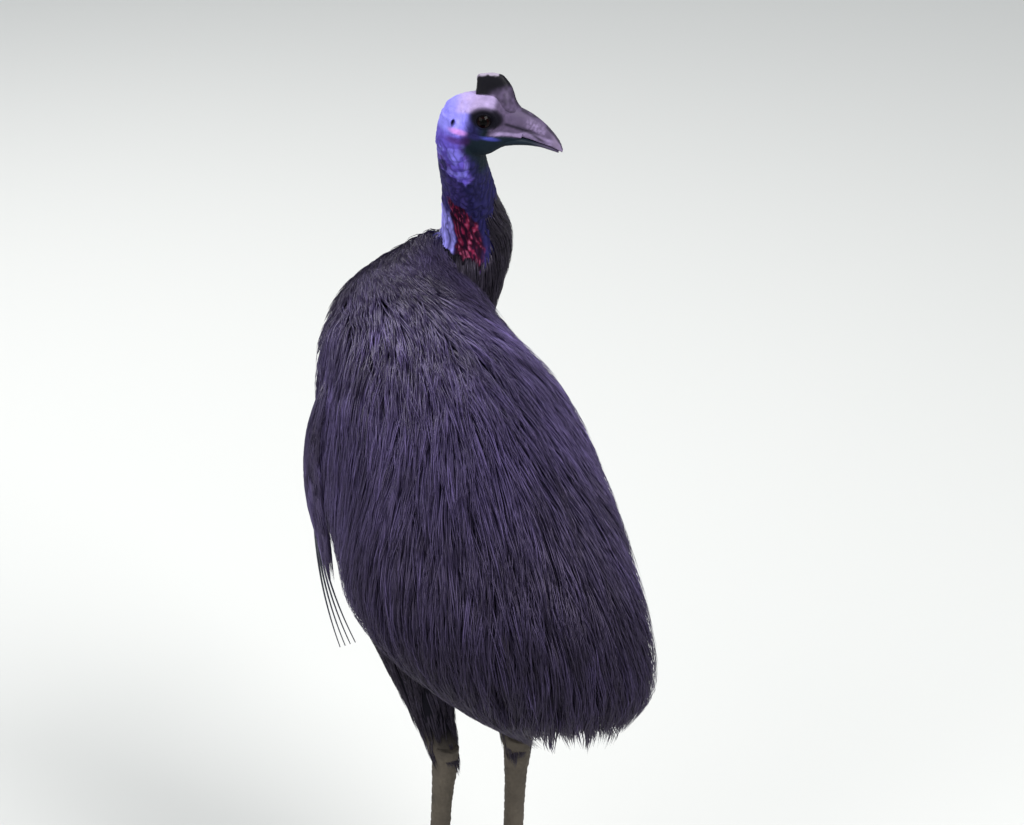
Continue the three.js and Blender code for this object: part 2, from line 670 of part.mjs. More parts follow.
const look = (color, roughness, metalness = 0) =>
  new THREE.MeshStandardMaterial({ color, roughness, metalness });
const LOOKS = {
  plumage: look(0x15131c, 0.55),
  skin: look(0x5b55b0, 0.6),
  horn: look(0x1d1b22, 0.3),
  bill: look(0x2c2a30, 0.35),
  eye: look(0x1a0f0a, 0.08),
  scale: look(0x8f8a84, 0.6),
  claw: look(0x3a342e, 0.4),
};

const mirror = (solid) => solid.mirror([1, 0, 0]);

// Where the tail's plumes part from the trunk: a plane across the rump.
const tailWay = trunkMiddle(TAIL_START + 0.1).sub(trunkMiddle(TAIL_START - 0.1)).setX(0).normalize();
const tailCut = (way, shift) => beyond(trunkMiddle(TAIL_START).addScaledVector(tailWay, shift),
  tailWay.clone().multiplyScalar(way));
const trunkPart = (grow, shift) =>
  trunkPlain(0, TAIL_START + 0.4, 0, grow, 16, 2).subtract(tailCut(1, shift));

const neckWhole = neckPlain(NECK_CUTS.collar - 0.3, 7, 16);
const collar = neckFrame(NECK_CUTS.collar);
const belowCollar = beyond(collar.here, collar.tangent.clone().negate());
const grown = (locks) => locks.map((lock) => lock(BODY_TRIM));
const plain = (locks) => locks.map((lock) => lock(0));

const torsoLocks = trunkLocks(TORSO_LOCKS);
const tailLocks = trunkLocks(TAIL_LOCKS);
const torsoWhole = union([trunkPart(0, -GAP), ...plain(torsoLocks)]);
const torsoGrown = union([trunkPart(BODY_TRIM, 0), ...grown(torsoLocks)]);
const tailCore = trunkPlain(TAIL_START - 0.4, TRUNK_END, 0, 0, 16, 2).subtract(tailCut(-1, 0));

const neckLocks = frontLocks(NECK_LOCKS);
const neckLower = union([neckCore(0.15, NECK_CUTS.collar + 0.3, 16), ...plain(neckLocks)])
  .subtract(neckBeyond(NECK_CUTS.collar, -GAP));

const wingCore = limb(WING, 5, 7, -1);
const wingGrown = limb(WING, 5, 7, BODY_TRIM - 1);
const wingPlumes = union([...plain(limbLocks(WING, WING_LOCKS, 3, 90 * DEG, 60 * DEG)), ...quills()]);
const thighLocks = limbLocks(DRUMSTICK, THIGH_LOCKS, 14, 0, Math.PI);
const thighCore = (grow) => limb(DRUMSTICK, 5, 10, (v) => 7 * (v - 1) + grow);
const thighWhole = union([thighCore(0), ...plain(thighLocks)]);
const thighGrown = union([thighCore(GAP), ...grown(thighLocks)]);

add("head", makeHead(), LOOKS.skin);
add("casque", makeCasque(), LOOKS.horn);
const bill = makeBill();
add("bill_upper", bill.upper, LOOKS.bill);
add("bill_lower", bill.lower, LOOKS.bill);
for (const [name, m] of [["eye_left", 1], ["eye_right", -1]])
  add(name, ball(EYE.f, m * EYE.s, EYE.u, EYE.radius, 1, 1, 1, 12, 8), LOOKS.eye);
const skullGrown = headLoft(SKULL, 9, 16, 0.9, BODY_TRIM);
const neckRoom = union([neckBeyond(NECK_CUTS.head, -GAP), belowCollar, skullGrown]);
add("neck_upper", largest(neckWhole.subtract(neckRoom)), LOOKS.skin);
add("neck_lower", largest(neckLower.subtract(torsoGrown)), LOOKS.plumage);
add("torso", largest(torsoWhole.subtract(union([wingGrown, mirror(wingGrown)]))), LOOKS.plumage);
add("tail", largest(union([tailCore, ...plain(tailLocks)]).subtract(torsoGrown)), LOOKS.plumage);

const shankForm = scuted(SHANK, SHANK_SCUTES, 10, 1.1);
const shankGrown = limb(SHANK, 12, 10, 1.6);
const toes = {};
const claws = {};
const placed = [];
for (const name of ["middle", "inner", "outer"]) {
  const toe = TOES[name];
  const room = limb(toeRows(toe), 8, 8, 1.3);
  const whole = scuted(toeRows(toe), toe.scutes, 7, 0.9);
  toes[name] = largest(whole.subtract(union([shankGrown, floor, ...placed])));
  claws[name] = largest(clawSolid(toe).subtract(room));
  placed.push(room);
}
const legPieces = { shank: [largest(shankForm.subtract(union([thighGrown, floor]))), LOOKS.scale] };
for (const name of Object.keys(TOES)) {
  legPieces["toe_" + name] = [toes[name], LOOKS.scale];
  legPieces["claw_" + name] = [claws[name], LOOKS.claw];
}
for (const [side, turned] of [["left", (solid) => solid], ["right", mirror]]) {
  add("thigh_" + side, largest(turned(thighWhole).subtract(torsoGrown)), LOOKS.plumage);
  const plumes = turned(wingPlumes).subtract(torsoGrown);
  add("wing_" + side, largest(union([turned(wingCore), plumes])), LOOKS.plumage);
}
for (const [name, [solid, finish]] of Object.entries(legPieces)) {
  add(name + "_left", solid, finish);
  add(name + "_right", mirror(solid), finish);
}

const cassowary = new THREE.Group();
cassowary.add(...meshes);
const box = new THREE.Box3().setFromObject(cassowary);
cassowary.position.set(-(box.min.x + box.max.x) / 2, -(box.min.y + box.max.y) / 2, -box.min.z);
export default cassowary;
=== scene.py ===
"""A dwarf cassowary, life size, that stands and looks back over its right shoulder.

Shapes are worked out in millimetres in the bird's own frame: side is to its left, fore is the way
its body faces, up is up. Every object is put into the part's frame in metres at the end.
"""

import math

import bpy
import numpy as np
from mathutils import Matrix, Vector


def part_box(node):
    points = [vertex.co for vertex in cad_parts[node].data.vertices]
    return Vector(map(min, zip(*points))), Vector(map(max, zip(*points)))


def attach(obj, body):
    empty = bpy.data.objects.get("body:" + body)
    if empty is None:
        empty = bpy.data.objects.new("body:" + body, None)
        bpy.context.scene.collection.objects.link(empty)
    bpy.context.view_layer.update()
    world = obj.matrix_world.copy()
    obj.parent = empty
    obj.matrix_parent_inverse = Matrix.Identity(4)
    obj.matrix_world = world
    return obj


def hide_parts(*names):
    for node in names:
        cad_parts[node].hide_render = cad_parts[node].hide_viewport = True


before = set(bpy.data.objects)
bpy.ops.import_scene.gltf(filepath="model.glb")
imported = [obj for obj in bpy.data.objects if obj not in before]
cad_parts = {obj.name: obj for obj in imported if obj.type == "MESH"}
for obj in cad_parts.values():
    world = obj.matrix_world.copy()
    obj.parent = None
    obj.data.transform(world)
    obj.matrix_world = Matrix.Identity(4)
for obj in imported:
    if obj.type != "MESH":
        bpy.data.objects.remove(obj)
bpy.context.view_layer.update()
rng = np.random.default_rng(11)

# Driving sizes, as in the solids but for the back of the skull, the lower bill's tip and the quills
# side, fore, up, pitch to the tail, half width, reach above, reach below, lower flank, coat depth
TRUNK = [
    [-38, 191, 813, 94, 47, 33, 46, 0.0, 26],
    [-10, 189, 783, 72, 81, 58, 73, 0.0, 30],
    [3, 157, 731, 48, 112, 97, 118, 0.1, 34],
    [2, 90, 689, 32, 130, 119, 160, 0.3, 38],
    [-3, 0, 646, 25, 153, 143, 190, 0.5, 42],
    [-1, -105, 598, 26, 163, 150, 180, 0.4, 46],
    [6, -200, 545, 38, 173, 137, 120, 0.2, 54],
    [-12, -266, 480, 60, 159, 108, 85, 0.1, 60],
    [-46, -294, 417, 78, 122, 84, 60, 0.0, 62],
    [-58, -301, 378, 84, 73, 56, 40, 0.0, 40],
]
# side, fore, up, half width, half depth, yaw of its front to the bird's right
NECK = [
    [-42, 184, 692, 60, 62, 40],
    [-72, 192, 752, 52, 54, 62],
    [-97, 190, 822, 43, 48, 85],
    [-86, 172, 876, 34, 37, 98],
    [-73, 150, 917, 30, 31.5, 104],
    [-59.4, 127, 958, 28, 29.5, 107],
    [-50, 110.6, 997, 25.5, 26.5, 107],
    [-50, 105, 1024, 20.5, 22, 107],
]
# f, top, bottom, half width
SKULL = [
    [-49, -16, -31, 6],
    [-47.6, -6, -41, 14],
    [-43.6, 7, -53, 23],
    [-30, 18.5, -54, 29],
    [-14, 26.5, -52, 30],
    [4, 31, -52, 28],
    [20, 28, -46, 22],
    [35, 21.5, -32, 16.5],
    [52, 14, -24, 12],
]
BILL_UPPER = [
    [30, 24.5, -16, 15.5],
    [44, 21, -13.8, 14],
    [58, 17.5, -13.2, 12],
    [75, 10.5, -14.5, 9.5],
    [91, 0.4, -16, 7],
    [101, -8.4, -18.4, 4.2],
    [106.5, -16, -19.8, 1.4],
]
BILL_LOWER = [
    [20, -17, -36, 14],
    [38, -13.8, -29.5, 13],
    [50, -13, -25, 11.5],
    [62, -13, -21.8, 10],
    [78, -14.6, -19.8, 7.6],
    [90, -15.8, -20.4, 5.2],
    [102, -18.6, -21.6, 2.2],
]
CASQUE = [
    [-21, 39, 18, 8],
    [-19.8, 48, 18, 12],
    [-10, 52.5, 18, 15],
    [-1, 55, 18, 16.5],
    [8, 55.5, 18, 16.5],
    [16, 51, 18, 16],
    [24.5, 43.5, 17, 14.5],
    [33.5, 30, 15, 12],
    [41.5, 22.5, 13, 9],
]
HEAD = {"side": -80, "fore": 104.5, "up": 1018.5, "yaw": 107, "pitch": 16.5}
EYE_SIDE, EYE_RADIUS = 20, 11.5
EAR = (-35.5, 27.5, -12)  # f, s, u
GAPE = [[7, -19.5], [18, -17.5], [28, -15.3], [40, -14]]
MOUTH = GAPE + [[58, -13.2], [75, -14.5], [91, -16], [101, -18.4], [106.5, -19.8]]
GROOVE = [[22, 1.2], [29, 1.3], [58, -2.1], [72, -8], [86, -13]]
# side, fore, up, half width, half depth
DRUMSTICK = [
    [82, 60, 590, 50, 84],
    [78, 16, 510, 54, 80],
    [70, -36, 436, 48, 64],
    [59, -82, 370, 36, 45],
    [50, -120, 312, 24, 29],
    [46, -138, 280, 18, 22],
]
SHANK = [
    [46, -142, 300, 15, 19],
    [46, -137, 274, 15.5, 18.5],
    [47, -127, 222, 12.5, 14.5],
    [48, -115, 140, 12, 13.5],
    [49, -105, 72, 13.5, 15],
    [49, -99, 36, 17, 19],
    [49, -97, 22, 18, 20],
]
# yaw outwards, length to the claw, half width at root and end, claw length, count of scutes
TOES = {
    "inner": (-17, 64, 13.5, 10.5, 70, 7),
    "middle": (4, 118, 15, 10.5, 34, 14),
    "outer": (33, 84, 13, 9.5, 27, 10),
}
TOE_ROOT = (49, -98)
SOLE = 2.2
WING = [
    [104, 116, 712, 9, 16],
    [127, 94, 678, 11, 29],
    [149, 62, 634, 13, 33],
    [161, 26, 584, 11, 29],
    [161, -12, 530, 7, 17],
]
# Bare quills at the end of each wing: how far apart they start, how far they splay and turn inward
QUILL = {"count": 4, "length": 190, "radius": 1.8, "spread": 11, "splay": 2, "inward": 30}


# Curves, noise and frames
def through(rows):
    """A smooth curve through rows of numbers, which runs straight on past its ends."""
    rows = np.asarray(rows, float)
    last = len(rows) - 1
    ends = np.vstack([2 * rows[0] - rows[1], rows, 2 * rows[-1] - rows[-2]])

    def curve(u):
        u = np.asarray(u, float)
        c = np.clip(u, 0, last - 1e-9)
        i = np.floor(c).astype(int)
        f = (c - i)[..., None]
        p0, p1, p2, p3 = ends[i], ends[i + 1], ends[i + 2], ends[i + 3]
        second = 2 * p0 - 5 * p1 + 4 * p2 - p3
        third = 3 * p1 - p0 - 3 * p2 + p3
        slope = 0.5 * ((p2 - p0) + 2 * second * f + 3 * third * f * f)
        value = 0.5 * (2 * p1 + (p2 - p0) * f + second * f * f + third * f**3)
        return value + (u - c)[..., None] * slope

    return curve


def at(side, fore, up):
    return np.stack(np.broadcast_arrays(side, -np.asarray(fore, float), up), -1).astype(float)


def unit(v):
    return v / np.maximum(np.linalg.norm(v, axis=-1, keepdims=True), 1e-12)


def smooth(low, high, x):
    t = np.clip((x - low) / (high - low), 0, 1)
    return t * t * (3 - 2 * t)


def read(table, x):
    """The value at x in a table of pairs, level past its ends."""
    return np.interp(x, *np.array(table).T)


def circle(count):
    return np.linspace(0, 2 * np.pi, count, endpoint=False)


def bell(x, width):
    """1 where x is 0, fading to both sides."""
    return np.exp(-((x / width) ** 2))


def mark(f, u, f_mid, u_mid, f_half, u_half, power=2):
    """1 in the middle of an oval, fading round it. The higher the power, the harder its edge."""
    return np.exp(-((((f - f_mid) / f_half) ** 2 + ((u - u_mid) / u_half) ** 2) ** power))


LATTICE = np.random.default_rng(5).random((32, 32, 32))


def noise(p, scale=1.0):
    """Smooth noise from 0 to 1 at points p, with features about scale apart."""
    q = p / scale + 100
    i = np.floor(q).astype(int)
    f = q - i
    f = f * f * (3 - 2 * f)
    total = 0
    for corner in np.ndindex(2, 2, 2):
        x, y, z = np.moveaxis(np.where(corner, f, 1 - f), -1, 0)
        total = total + x * y * z * LATTICE[tuple(np.moveaxis((i + corner) % 32, -1, 0))]
    return total


def folds(p, scale):
    """Rounded folds with sharp creases between them, 0 in the crease and 1 on top."""
    return np.abs(2 * noise(p, scale) - 1) * 1.6


trunk_row = through(TRUNK)
neck_row = through(NECK)
TRUNK_END = len(TRUNK) - 1


def coat(a, b, out):
    """A point of the plumage: a along the trunk, b round it, out from half its depth (0) to tips (1)."""
    side, fore, up, pitch, wide, above, below, full, depth = np.moveaxis(trunk_row(a), -1, 0)
    pitch = np.radians(pitch)
    inset = depth / 2 * (1 - out)
    c, s = np.cos(b), np.sin(b)
    low = np.where(c < 0, 1 - 0.7 * full * c * s * s, 1)
    rise = (np.where(c >= 0, above, below) - inset) * c
    reach = (wide - inset) * s * low
    return at(side + reach, fore - rise * np.sin(pitch), up + rise * np.cos(pitch))


NUDGE = 0.02  # how far each way along a neck or limb to look for its heading


def axis_at(row, u):
    """The middle of a neck or limb at u along it, and the way it runs there."""

    def middle(v):
        return at(*np.moveaxis(row(v)[..., :3], -1, 0))

    return middle(u), unit(middle(u + NUDGE) - middle(u - NUDGE))


def squared(way, tangent):
    """The way, turned square to the tangent."""
    return unit(way - np.sum(way * tangent, -1, keepdims=True) * tangent)


def round_at(here, front, left, deep, wide, around):
    """Points round here, the turn around being 0 in front."""
    return here + front * (deep * np.cos(around))[..., None] + left * (wide * np.sin(around))[..., None]


def neck_frame(u):
    """Middle, front, left, half depth and half width of the neck."""
    row = neck_row(u)
    here, tangent = axis_at(neck_row, u)
    yaw = np.radians(row[..., 5])
    front = squared(at(-np.sin(yaw), np.cos(yaw), np.zeros_like(yaw)), tangent)
    return here, front, np.cross(tangent, front), row[..., 4], row[..., 3]


def limb_frame(row, u):
    """Middle, front, side, half depth and half width of a leg or wing."""
    r = row(u)
    here, tangent = axis_at(row, u)
    side = squared(np.broadcast_to([1.0, 0.0, 0.0], tangent.shape), tangent)
    return here, np.cross(tangent, side), side, r[..., 4], r[..., 3]


NECK_COAT = 18  # depth of the neck's plumage in front


def neck_coat(u, around):
    front = np.maximum(0, np.cos(around) + 0.35) / 1.35
    low = np.clip(1.95 - u, 0, 1)
    return NECK_COAT * np.minimum(1, front + low) * (1 - smooth(2.6, 3.6, u))


def neck_spot(u, around, out):
    """A point of the neck's plumage: u up the neck, and out as for the trunk."""
    here, front, left, deep, wide = neck_frame(u)
    grow = -0.5 * neck_coat(u, around) * (1 - out)
    return round_at(here, front, left, deep + grow, wide + grow, around)


HEAD_YAW, HEAD_PITCH = math.radians(HEAD["yaw"]), math.radians(HEAD["pitch"])
LEVEL = at(-math.sin(HEAD_YAW), math.cos(HEAD_YAW), 0)
HEAD_FORWARD = LEVEL * math.cos(HEAD_PITCH) + np.array([0, 0, -math.sin(HEAD_PITCH)])
HEAD_UP = LEVEL * math.sin(HEAD_PITCH) + np.array([0, 0, math.cos(HEAD_PITCH)])
HEAD_LEFT = np.cross(HEAD_UP, HEAD_FORWARD)
HEAD_ORIGIN = at(HEAD["side"], HEAD["fore"], HEAD["up"])


def head_at(f, s, u):
    f, s, u = np.broadcast_arrays(f, s, u)
    return HEAD_ORIGIN + f[..., None] * HEAD_FORWARD + s[..., None] * HEAD_LEFT + u[..., None] * HEAD_UP


def head_of(p):
    """f, s and u of points in the head's own frame."""
    d = p - HEAD_ORIGIN
    return d @ HEAD_FORWARD, d @ HEAD_LEFT, d @ HEAD_UP


# The part's frame stands the bird over the middle of its box: the left eye tells how far it moved.
eye_low, eye_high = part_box("eye_left")
SHIFT = (np.array(eye_low) + np.array(eye_high)) * 500 - head_at(0, EYE_SIDE, 0)


# Meshes
def add(thing):
    bpy.context.scene.collection.objects.link(thing)
    return thing


def new_object(name, points, faces):
    """An object of points in millimetres of the bird's frame, with faces given by point numbers."""
    mesh = bpy.data.meshes.new(name)
    mesh.from_pydata(((np.asarray(points) + SHIFT) / 1000).tolist(), [], faces)
    mesh.update()
    return add(bpy.data.objects.new(name, mesh))


def vectors(items, key):
    values = np.zeros(len(items) * 3, np.float32)
    items.foreach_get(key, values)
    return values.reshape(-1, 3).astype(float)


def points_of(thing):
    return vectors(thing.data.vertices, "co") * 1000 - SHIFT


def normals_of(thing):
    return vectors(thing.data.vertex_normals, "vector")


def move_points(thing, points):
    thing.data.vertices.foreach_set("co", ((points + SHIFT) / 1000).astype(np.float32).ravel())
    thing.data.update()


def bands(count, sides, closed=False):
    """Faces from each ring to the next, and from the last back to the first if they are closed."""
    faces = []
    for i in range(count if closed else count - 1):
        a, b = i * sides, (i + 1) % count * sides
        for j in range(sides):
            k = (j + 1) % sides
            faces.append((a + j, a + k, b + k, b + j))
    return faces


def tube(rings):
    """A closed body from rings of points, shaped (count, sides, 3), with a fan at each end."""
    rings = np.asarray(rings, float)
    count, sides, _ = rings.shape
    points = np.vstack([rings.reshape(-1, 3), rings[0].mean(0), rings[-1].mean(0)])
    faces = bands(count, sides)
    start, end, last = count * sides, count * sides + 1, (count - 1) * sides
    for j in range(sides):
        k = (j + 1) % sides
        faces += [(start, k, j), (end, last + j, last + k)]
    volume = 0.0
    for f in faces[: sides * (count - 1)]:
        a, b, c, d = points[list(f)]
        volume += a @ np.cross(b, c) + a @ np.cross(c, d)
    if volume < 0:
        faces = [f[::-1] for f in faces]
    return points, faces


def joined(name, bodies):
    points, faces, base = [], [], 0
    for p, f in bodies:
        points.append(p)
        faces += [tuple(base + i for i in face) for face in f]
        base += len(p)
    return new_object(name, np.vstack(points), faces)


def change(thing, kind, **values):
    modifier = thing.modifiers.new(kind, kind)
    for key, value in values.items():
        setattr(modifier, key, value)
    graph = bpy.context.evaluated_depsgraph_get()
    graph.update()
    mesh = bpy.data.meshes.new_from_object(thing.evaluated_get(graph))
    thing.modifiers.clear()
    old = thing.data
    thing.data = mesh
    bpy.data.meshes.remove(old)


def remesh(thing, voxel):
    change(thing, "REMESH", mode="VOXEL", voxel_size=voxel / 1000)


def relax(thing, times):
    change(thing, "SMOOTH", factor=0.5, iterations=times)


def unite(thing, other):
    change(thing, "BOOLEAN", operation="UNION", solver="MANIFOLD", object=other)
    bpy.data.objects.remove(other)


def shade_smooth(thing):
    thing.data.polygons.foreach_set("use_smooth", np.ones(len(thing.data.polygons), bool))


def ellipse_rings(rows, count, sides, grow=0.0):
    """Rings of a limb: rows of side, fore, up, half width, half depth."""
    u = np.linspace(0, len(rows) - 1, count)[:, None]
    here, front, side, deep, wide = limb_frame(through(rows), u)
    grow = np.reshape(grow, (-1, 1))
    return round_at(here, front, side, deep + grow, wide + grow, circle(sides))


def sampled(rows, count):
    """Columns of numbers at even places along the smooth curve through rows."""
    return through(rows)(np.linspace(0, len(rows) - 1, count)).T[..., None]


def head_rings(rows, count, sides, square=0.9):
    """Rings of a part of the head: rows of f, top, bottom, half width."""

    def rounded(x):
        return np.sign(x) * np.abs(x) ** square

    f, top, bottom, wide = sampled(rows, count)
    t = circle(sides)
    u = (top + bottom) / 2 + (top - bottom) / 2 * rounded(np.cos(t))
    return head_at(f, wide * rounded(np.sin(t)), u)


def mirrored(points):
    return points * np.array([-1, 1, 1])


def mirror_body(body):
    points, faces = body
    return mirrored(points), [f[::-1] for f in faces]


def mirror_copy(thing):
    """The same object on the other side of the bird."""
    other = thing.copy()
    other.data = thing.data.copy()
    add(other)
    move_points(other, mirrored(points_of(other)))
    other.data.flip_normals()
    return other


def head_donut(f, s, u, radius, thick, longer, tilt, sides=40):
    """An oval ring that lies on the side of the head, as a closed body."""
    t, w = circle(sides), circle(12)
    r = radius + thick * np.cos(w)
    x = (r * np.cos(t)[:, None]) * longer
    y = r * np.sin(t)[:, None]
    c, n = math.cos(math.radians(tilt)), math.sin(math.radians(tilt))
    rings = head_at(f + x * c - y * n, s + thick * np.sin(w), u + x * n + y * c)
    return rings.reshape(-1, 3), bands(sides, len(w), closed=True)


# Skin
SKIN_SHARE = -0.1  # how far out the trunk's skin lies: 0 is half the coat, 1 its tips


def skin_out(a):
    """How far out the trunk's skin is: the flesh ends before the plumes that hang from the rump."""
    return SKIN_SHARE - 2.0 * smooth(6.4, 8.4, a)


def toe_way(yaw):
    return np.array([math.sin(math.radians(yaw)), math.cos(math.radians(yaw))])


def toe_place(yaw, along, reach):
    return np.array(TOE_ROOT) + toe_way(yaw) * along * reach


# along the toe, and its half width and height there as shares of those at its root
PADS = [(-0.12, 0.9, 0.95), (0.25, 1.02, 0.95), (0.6, 0.94, 0.76), (0.88, 0.8, 0.66), (1, 0.6, 0.52)]


def make_skin():
    t = circle(64)
    a = np.linspace(-0.6, 8.3, 64)
    trunk = tube(coat(a[:, None], t[None], skin_out(a)[:, None]))
    thigh = tube(ellipse_rings(DRUMSTICK, 40, 40, np.linspace(-9, -1, 40)))
    arm = tube(ellipse_rings(WING, 30, 24, np.linspace(-7, -3, 30)))
    body = joined("skin", [trunk, thigh, mirror_body(thigh), arm, mirror_body(arm)])
    remesh(body, voxel=4.5)
    relax(body, times=6)

    u = np.linspace(0.1, 7, 90)
    neck = tube(neck_spot(u[:, None], t[None], 0.0 * u[:, None]))
    skull = tube(head_rings(SKULL, 60, 64))
    lids = [head_donut(0, m * 24.5, 0, radius=12.4, thick=3.6, longer=1.22, tilt=-m * 8) for m in (1, -1)]
    f, s, u = EAR[0], EAR[1] * 0.985, EAR[2]
    rims = [head_donut(f, m * s, u, radius=5, thick=1.3, longer=0.65, tilt=0, sides=20) for m in (1, -1)]
    head = joined("head_skin", [neck, skull, *lids, *rims])
    remesh(head, voxel=1.0)
    relax(head, times=4)
    shape_head(head)

    leg = tube(ellipse_rings(SHANK, 60, 40))
    toes = []
    for yaw, reach, root, _, _, _ in TOES.values():
        rows = [
            [*toe_place(yaw, k, reach), root * deep - SOLE, root * wide, root * deep]
            for k, wide, deep in PADS
        ]
        rings = ellipse_rings(rows, 40, 32)
        rings[..., 2] = np.maximum(rings[..., 2], 0.0)
        toes.append(tube(rings))
    legs = joined("leg_skin", [leg, *toes])
    remesh(legs, voxel=1.5)
    relax(legs, times=2)
    shape_leg(legs)
    for piece in (head, legs, mirror_copy(legs)):
        unite(body, piece)
    shade_smooth(body)
    return body


def neck_place(p):
    """How far up the neck each point is, and its way round from the front, found from many marks."""
    marks = np.linspace(0, 7, 400)
    middle, front, left, _, _ = neck_frame(marks)
    blocks = np.array_split(p, len(p) // 4000 + 1)
    near = np.concatenate([np.argmin(((block[:, None] - middle) ** 2).sum(-1), 1) for block in blocks])
    d = p - middle[near]
    around = np.arctan2(np.sum(d * left[near], -1), np.sum(d * front[near], -1))
    return marks[near], around


DENTS = {"mouth": 1.6, "ear": 5, "eye_fold": 0.5, "cheek": 1.6}  # how deep each lies in the head
# how far out each fold round the eye lies, its width and its height, where 1 is the eye's edge
LID_FOLDS = [[1.22, 0.1, 0.5], [1.5, 0.07, -0.7], [1.78, 0.08, -0.45]]


def shape_head(thing):
    """Eye sockets, cheeks, ear holes, the line of the mouth and the wrinkles of the neck."""
    p = points_of(thing)
    n = normals_of(thing)
    f, s, u = head_of(p)
    near, _ = neck_place(p)
    on_head = smooth(-70, -40, u) * smooth(-66, -50, f)
    rise = np.zeros(len(p))
    # the line of the mouth
    mouth = bell(u - read(GAPE, f), 0.9) * smooth(4, 12, f) * (np.abs(s) > 6)
    rise -= DENTS["mouth"] * mouth * on_head
    # ear holes
    ear = mark(f, u, EAR[0], EAR[2], 2.4, 4.2, 1)
    rise -= DENTS["ear"] * ear**1.5 * (np.abs(s) > 15) * on_head
    # the folds round the eye and the hollow of the cheek
    around_eye = np.hypot(f / 1.25, u)
    for radius in (18.5, 21.5):
        rise -= DENTS["eye_fold"] * bell(around_eye - radius, 0.8) * on_head * (np.abs(s) > 10)
    rise -= DENTS["cheek"] * mark(f, u, 22, -8, 10, 7, 1) * (np.abs(s) > 8) * on_head
    # lids close round the ball of the eye, and open in an almond
    for m in (1, -1):
        d = np.stack([f, s - m * EYE_SIDE, u], -1)
        r = np.linalg.norm(d, axis=-1)
        wide = np.sqrt((f / 9.8) ** 2 + (u / np.where(u > 0, 7.2, 7.8)) ** 2)
        facing = m * (s - m * EYE_SIDE) > 2
        lid = 10.3 + 2.35 * smooth(0.95, 1.12, wide)
        for place, width, height in LID_FOLDS:
            lid = lid + height * bell(wide - place, width)
        reach = smooth(2.1, 1.5, wide) * facing
        goal = np.where(wide < 1.05, np.minimum(r, lid), np.maximum(r, lid))
        outside = lid + np.maximum(r - lid, 0) * smooth(1.2, 1.7, wide)
        goal = np.where((wide > 1.05) & (wide < 1.7), outside, goal)
        scale = (r + (goal - r) * reach) / np.maximum(r, 1e-6)
        moved = head_at(d[:, 0] * scale, m * EYE_SIDE + d[:, 1] * scale, d[:, 2] * scale)
        p = np.where((facing & (wide < 2.1) & (r < 24))[:, None], moved, p)
    f, s, u = head_of(p)
    # wrinkles: cells on the head and upper neck, long upright folds lower down
    low = 1 - smooth(3.6, 5.2, near)
    upright = fine_creases(p)
    cells = folds(p + 4 * noise(p, 9)[:, None], 6.5)
    skin = upright * low + cells * (1 - low)
    calm = 1 - 0.85 * smooth(-24, 0, f) * on_head
    rise += (skin - 0.5) * (1.5 * low + 0.8 * (1 - low)) * calm
    move_points(thing, p + n * rise[:, None])


def scutes(step):
    """1 on a scute and 0 in the crease before the next, where step counts them."""
    step = step % 1
    return smooth(0, 0.16, step) * smooth(1, 0.84, step)


def shape_leg(thing):
    """Raised scutes down the front of the shank and the tops of the toes, and small scales elsewhere."""
    p = points_of(thing)
    n = normals_of(thing)
    up = p[:, 2]
    rise = (folds(p, 5.5) - 0.5) * 0.9
    front, shank = smooth(0.1, 0.6, n @ at(0, 1, 0)), smooth(26, 40, up)
    rise = rise * (1 - front * shank) + (1.5 * scutes(up / 12.5) - 0.5) * front * shank
    d = np.stack([p[:, 0], -p[:, 1]], -1) - np.array(TOE_ROOT)
    for yaw, reach, _, _, _, count in TOES.values():
        way = toe_way(yaw)
        along, across = d @ way, d @ np.array([way[1], -way[0]])
        on = (np.abs(across) < 16) * smooth(0.15, 0.3, along / reach) * smooth(0.3, 0.8, n[:, 2])
        rise = rise * (1 - on) + (1.2 * scutes(along / reach * count) - 0.4) * on
    rise = rise * smooth(0.5, 3, up)
    q = p + n * rise[:, None]
    q[:, 2] = np.maximum(q[:, 2], 0)
    move_points(thing, q)


# Strands
NEAR = 0.01  # how far each way to look for the slope of a surface
STEPS = 4  # straight parts of a strand
MOST = 8800  # strands in a piece
GATHER = 0.6  # how far a clump draws together at its tip
MOTTLE = 0.3  # how much the clumps differ in brightness
PATCH = 0.003  # size of a strand's own place on the unwrap
TAPER = [[0, 0.75], [0.35, 1], [0.8, 0.6], [1, 0.1]]


